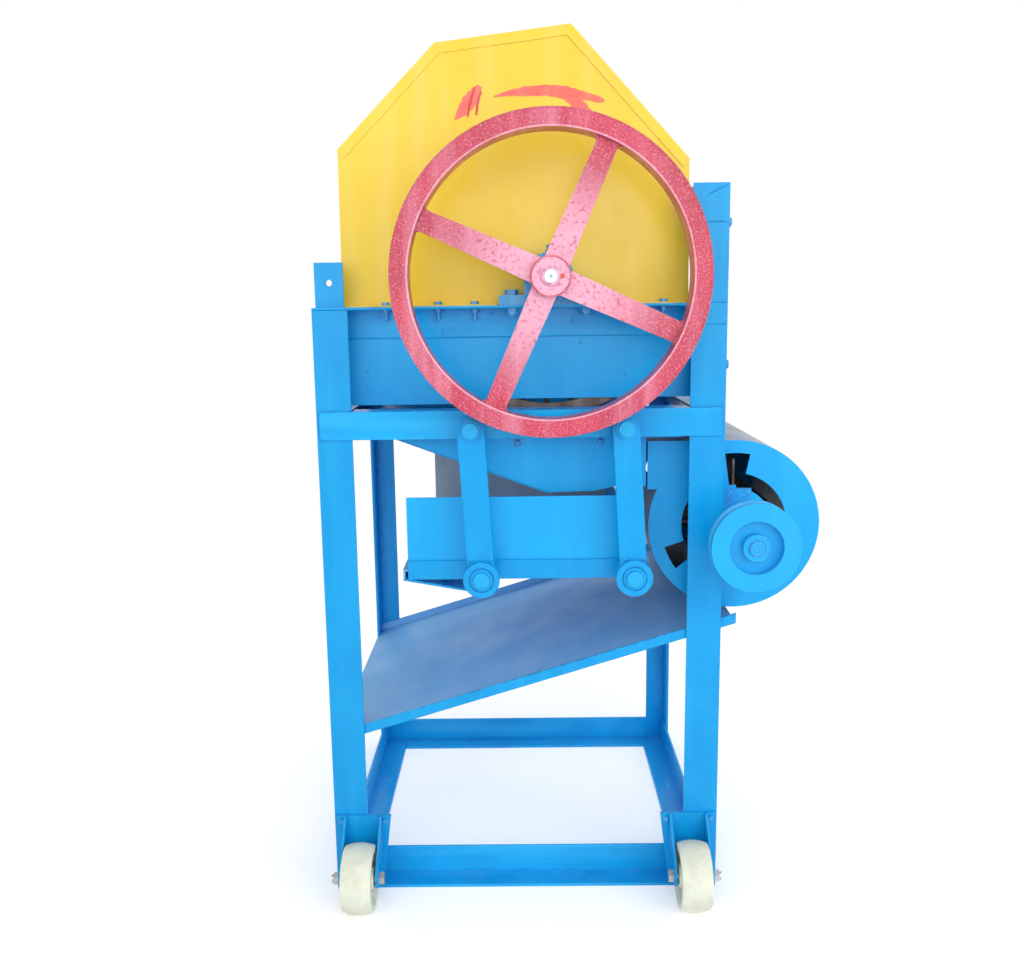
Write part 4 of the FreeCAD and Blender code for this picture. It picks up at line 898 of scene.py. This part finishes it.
@dataclass
class RiserTrim:
    """The bolts through the riser's side, the seams across its front and the cut at its corner."""

    side: float = 290.0
    front: float = -270.0
    bolt_places: tuple[tuple[float, float], ...] = ((-246.0, 992.0), (-246.0, 795.0))
    seam_heights: tuple[float, ...] = (991.0, 882.0, 852.0)
    top: float = 1043.0
    seam_left: float = 244.0
    seam_radius: float = 0.8
    corner: float = 16.0
    corner_radius: float = 1.0
    washer_radius: float = 8.0
    washer_top: float = 1.6
    head_radius: float = 6.5
    head_top: float = 7.0
    sunk: float = 0.2

    def build(self, finishes: Finishes) -> None:
        """Makes the bolts at the front and the back, and the seams."""
        bolts = Shape("riser_bolts")
        seat, top = self.side + self.washer_top, self.side + self.head_top
        for way in (1.0, -1.0):
            for y, z in self.bolt_places:
                bolts.rod((self.side - self.sunk, way * y, z), (seat, way * y, z), self.washer_radius)
                bolts.rod((seat, way * y, z), (top, way * y, z), self.head_radius, sides=6)
        bolts.soften(0.5)
        bolts.finish(Body.FRAME, "blue_paint", finishes.get(BLUE_CAST))
        seam = Shape("riser_seam")
        for z in self.seam_heights:
            seam.bead((self.seam_left, self.front, z), (self.side - 3.0, self.front, z), self.seam_radius)
        seam.bead((self.seam_left + self.corner, self.front, self.top - self.corner),
                  (self.side - 2.0, self.front, self.top - 2.0), self.corner_radius)
        seam.finish(Body.FRAME, "blue_paint", finishes.get(BLUE))


@dataclass
class Welds:
    """Weld beads where the rails meet the posts, painted over with the frame."""

    half_width: float = 284.0
    post_inner: float = 241.0
    face: float = -270.0
    heights: tuple[float, ...] = (696.0, 736.0)
    radius: float = 1.8

    def build(self, finishes: Finishes) -> None:
        """Makes the beads at both ends of the mid rails, front and back."""
        shape = Shape("frame_welds")
        for way in (1.0, -1.0):
            y = way * self.face
            for z in self.heights:
                for hand in (1.0, -1.0):
                    shape.bead((hand * self.half_width, y, z), (hand * self.post_inner, y, z), self.radius)
        shape.finish(Body.FRAME, "blue_paint", finishes.get(BLUE))


@dataclass
class LinkWelds:
    """The bead between each link's bar and the ring at its foot."""

    foot_x: tuple[float, float] = (-58.1, 158.9)
    foot_z: float = 498.3
    plane: float = 302.0
    reach: float = 17.0
    rise: float = 25.5
    radius: float = 1.7

    def build(self, finishes: Finishes) -> None:
        """Makes one bead for each of the four links."""
        front = (Body.LINK_FRONT_LEFT, Body.LINK_FRONT_RIGHT)
        back = (Body.LINK_BACK_LEFT, Body.LINK_BACK_RIGHT)
        for side, bodies in ((-1.0, front), (1.0, back)):
            for x, body in zip(self.foot_x, bodies):
                shape = Shape("weld_" + body.value)
                y, z = side * self.plane, self.foot_z + self.rise
                shape.bead((x - self.reach, y, z), (x + self.reach, y, z), self.radius)
                shape.finish(body, "blue_paint", finishes.get(BLUE))


@dataclass
class ChuteTrim:
    """The bright blue paint on the chute's lips, inside which the tray is rubbed dull."""

    left: float = -288.6
    right: float = 312.8
    low_z: float = 235.0
    slope: float = 16.8
    lip: float = 15.0
    outside: float = 265.0
    sheet: float = 2.0
    thick: float = 0.35
    sunk: float = 0.05
    gap: float = 0.02

    def build(self, finishes: Finishes) -> None:
        """Makes a thin skin over the outer face and the top edge of each lip."""
        shape = Shape("chute_lip_paint")
        slope = math.tan(math.radians(self.slope))
        for side in (-1.0, 1.0):
            y0, y1 = side * (self.outside + self.thick), side * (self.outside - self.sheet)
            made = bmesh.ops.create_cube(shape.mesh, size=1.0)["verts"]
            for vert in made:
                x = self.left if vert.co.x < 0 else self.right
                base = self.lip + (self.thick if vert.co.z > 0 else -self.sunk)
                y = y0 if vert.co.y < 0 else y1
                vert.co = Vector((x, y, self.low_z + (x - self.left) * slope + base))
            skin = bmesh.ops.create_cube(shape.mesh, size=1.0)["verts"]
            for vert in skin:
                x = self.left if vert.co.x < 0 else self.right
                base = self.lip if vert.co.z > 0 else 0.0
                y = y0 if vert.co.y < 0 else side * (self.outside + self.gap)
                vert.co = Vector((x, y, self.low_z + (x - self.left) * slope + base))
        shape.finish(Body.FRAME, "blue_paint", finishes.get(BLUE))


@dataclass
class PaintRuns:
    """Small runs and drops where the brushed paint sagged on the upright faces."""

    rail_face: float = -229.0
    casing_face: float = -225.0
    count: int = 26
    spread: float = 225.0
    rail_z: float = 858.0
    rail_reach: float = 13.0
    casing_z: float = 798.0
    casing_reach: float = 32.0

    def build(self, finishes: Finishes) -> None:
        """Makes the drops on the front top rail and on the casing, and the same at the back."""
        shape = Shape("paint_runs")
        for step in range(self.count):
            x = self.spread * math.sin(step * 2.399)
            on_rail = step % 2 == 0
            if on_rail:
                y, z = self.rail_face, self.rail_z + self.rail_reach * math.sin(step * 5.1)
            else:
                y, z = self.casing_face, self.casing_z + self.casing_reach * math.sin(step * 3.7)
            size = 1.1 + 0.5 * math.sin(step * 1.7)
            for side in (1.0, -1.0):
                shape.ball((x, side * y, z), size, 2.6 + math.sin(step * 4.3))
        shape.finish(Body.FRAME, "blue_paint", finishes.get(BLUE_SMOOTH))


@dataclass
class SieveLining:
    """The insides of the sieve's walls, rubbed pale by the nuts."""

    left: float = -167.0
    right: float = 166.0
    low: float = 501.0
    top: float = 607.0
    inside: float = 252.0
    thick: float = 0.4

    def build(self, finishes: Finishes) -> None:
        """Makes the two thin panels."""
        shape = Shape("sieve_wall_insides")
        for side in (-1.0, 1.0):
            y0, y1 = sorted((side * self.inside, side * (self.inside - self.thick)))
            shape.block((self.left, y0, self.low), (self.right, y1, self.top))
        shape.finish(Body.SIEVE, "blue_paint", finishes.get(WORN))


@dataclass(frozen=True)
class Lamp:
    """One soft square lamp aimed at the machine.

    Attributes:
        name: The lamp's name.
        place: Its place in millimetres from the middle of the posts.
        size: Its side in metres.
        power: Its power in watts.
    """

    name: str
    place: Point
    size: float
    power: float


@dataclass
class Studio:
    """The floor, the lamps, the world and the camera that matches the photograph."""

    focal_px: float = 1007.5
    principal_x_px: float = 509.8
    picture_width_px: float = 1024.0
    sensor: float = 36.0
    eye: Point = (0.0, -1693.0, 880.0)
    yaw: float = 0.66
    pitch: float = 9.76
    roll: float = -0.82
    world_light: float = 0.66
    floor_size: float = 14.0
    floor_colour: Colour = (0.93, 0.93, 0.93)
    floor_lift: float = 0.3
    floor_fade: tuple[float, float] = (0.9, 2.6)
    aim: Point = (20.0, 0.0, 650.0)
    lamps: tuple[Lamp, ...] = (
        Lamp("Key", (-700.0, -2600.0, 1500.0), 1.8, 19.0),
        Lamp("Fill", (1500.0, -2100.0, 1300.0), 1.8, 22.0),
        Lamp("Near", (260.0, -1800.0, 1040.0), 0.42, 2.6),
        Lamp("Back", (300.0, 1900.0, 2500.0), 1.6, 12.0),
    )

    def build(self) -> None:
        """Makes the whole studio."""
        self.make_camera()
        self.make_world()
        self.make_floor()
        for lamp in self.lamps:
            self.make_lamp(lamp)
        bpy.context.scene.view_settings.view_transform = "Standard"

    def make_camera(self) -> None:
        """Sets the camera by the angles and place that were fitted to the photograph."""
        yaw, pitch, roll = (math.radians(angle) for angle in (self.yaw, self.pitch, self.roll))
        ahead = Vector((-math.sin(yaw) * math.cos(pitch), math.cos(yaw) * math.cos(pitch), -math.sin(pitch)))
        right = Vector((math.cos(yaw), math.sin(yaw), 0.0))
        up = right.cross(ahead)
        turned_right = right * math.cos(roll) + up * math.sin(roll)
        turned_up = up * math.cos(roll) - right * math.sin(roll)
        data = bpy.data.cameras.new("Camera")
        data.lens = self.sensor * self.focal_px / self.picture_width_px
        data.sensor_width = self.sensor
        data.shift_x = (self.picture_width_px / 2.0 - self.principal_x_px) / self.picture_width_px
        data.clip_start = 0.05
        camera = bpy.data.objects.new("Camera", data)
        turn = Matrix((turned_right, turned_up, -ahead)).transposed()
        camera.matrix_world = Matrix.Translation(at(*self.eye)) @ turn.to_4x4()
        bpy.context.scene.collection.objects.link(camera)
        bpy.context.scene.camera = camera

    def make_world(self) -> None:
        """A plain world, white to the camera and softer as a light."""
        world = bpy.data.worlds.new("World")
        bpy.context.scene.world = world
        world.use_nodes = True
        shade = world.node_tree.nodes["Background"]
        shade.inputs["Color"].default_value = (1.0, 1.0, 1.0, 1.0)
        b = NodeBuilder(world.node_tree)
        b.put(shade.inputs["Strength"], b.scale(b.seen(), self.world_light, 1.0))

    def make_floor(self) -> None:
        """A pale floor that the machine stands on."""
        mesh = bpy.data.meshes.new("Floor")
        shape = bmesh.new()
        bmesh.ops.create_grid(shape, x_segments=1, y_segments=1, size=self.floor_size)
        shape.to_mesh(mesh)
        shape.free()
        floor = bpy.data.objects.new("Floor", mesh)
        bpy.context.scene.collection.objects.link(floor)
        m = MaterialBuilder("Floor")
        m.feed(base_color=(*self.floor_colour, 1.0), roughness=0.9, specular_ior_level=0.1)
        m.feed(emission_color=(1.0, 1.0, 1.0, 1.0))
        m.feed(emission_strength=m.scale(m.seen(), 0.0, self.floor_lift))
        reach = m.node("VectorMath", {0: m.place()}, operation="LENGTH").outputs["Value"]
        m.feed(alpha=m.ramp(reach, *self.floor_fade, fall=True))
        mesh.materials.append(m.material)

    def make_lamp(self, lamp: Lamp) -> None:
        """Adds a lamp and turns it to the machine.

        Args:
            lamp: Its name, place, size and power.
        """
        data = bpy.data.lights.new(lamp.name, "AREA")
        data.size = lamp.size
        data.energy = lamp.power
        made = bpy.data.objects.new(lamp.name, data)
        made.location = at(*lamp.place)
        made.rotation_mode = "QUATERNION"
        made.rotation_quaternion = (at(*self.aim) - made.location).to_track_quat("-Z", "Y")
        bpy.context.scene.collection.objects.link(made)


def main() -> None:
    """Builds the studio and dresses the machine, piece by piece."""
    logging.basicConfig(level=logging.INFO, format="%(message)s")
    finishes = Finishes()
    Studio().build()
    finishes.dress_cad()
    for trim in (HoodMarks(), BearingTrim(), WheelTrim(), FanTrim(), HopperTrim(), RiserTrim(), Welds(),
                 LinkWelds(), ChuteTrim(), PaintRuns(), SieveLining()):
        trim.build(finishes)


if __name__ == "__main__":
    main()
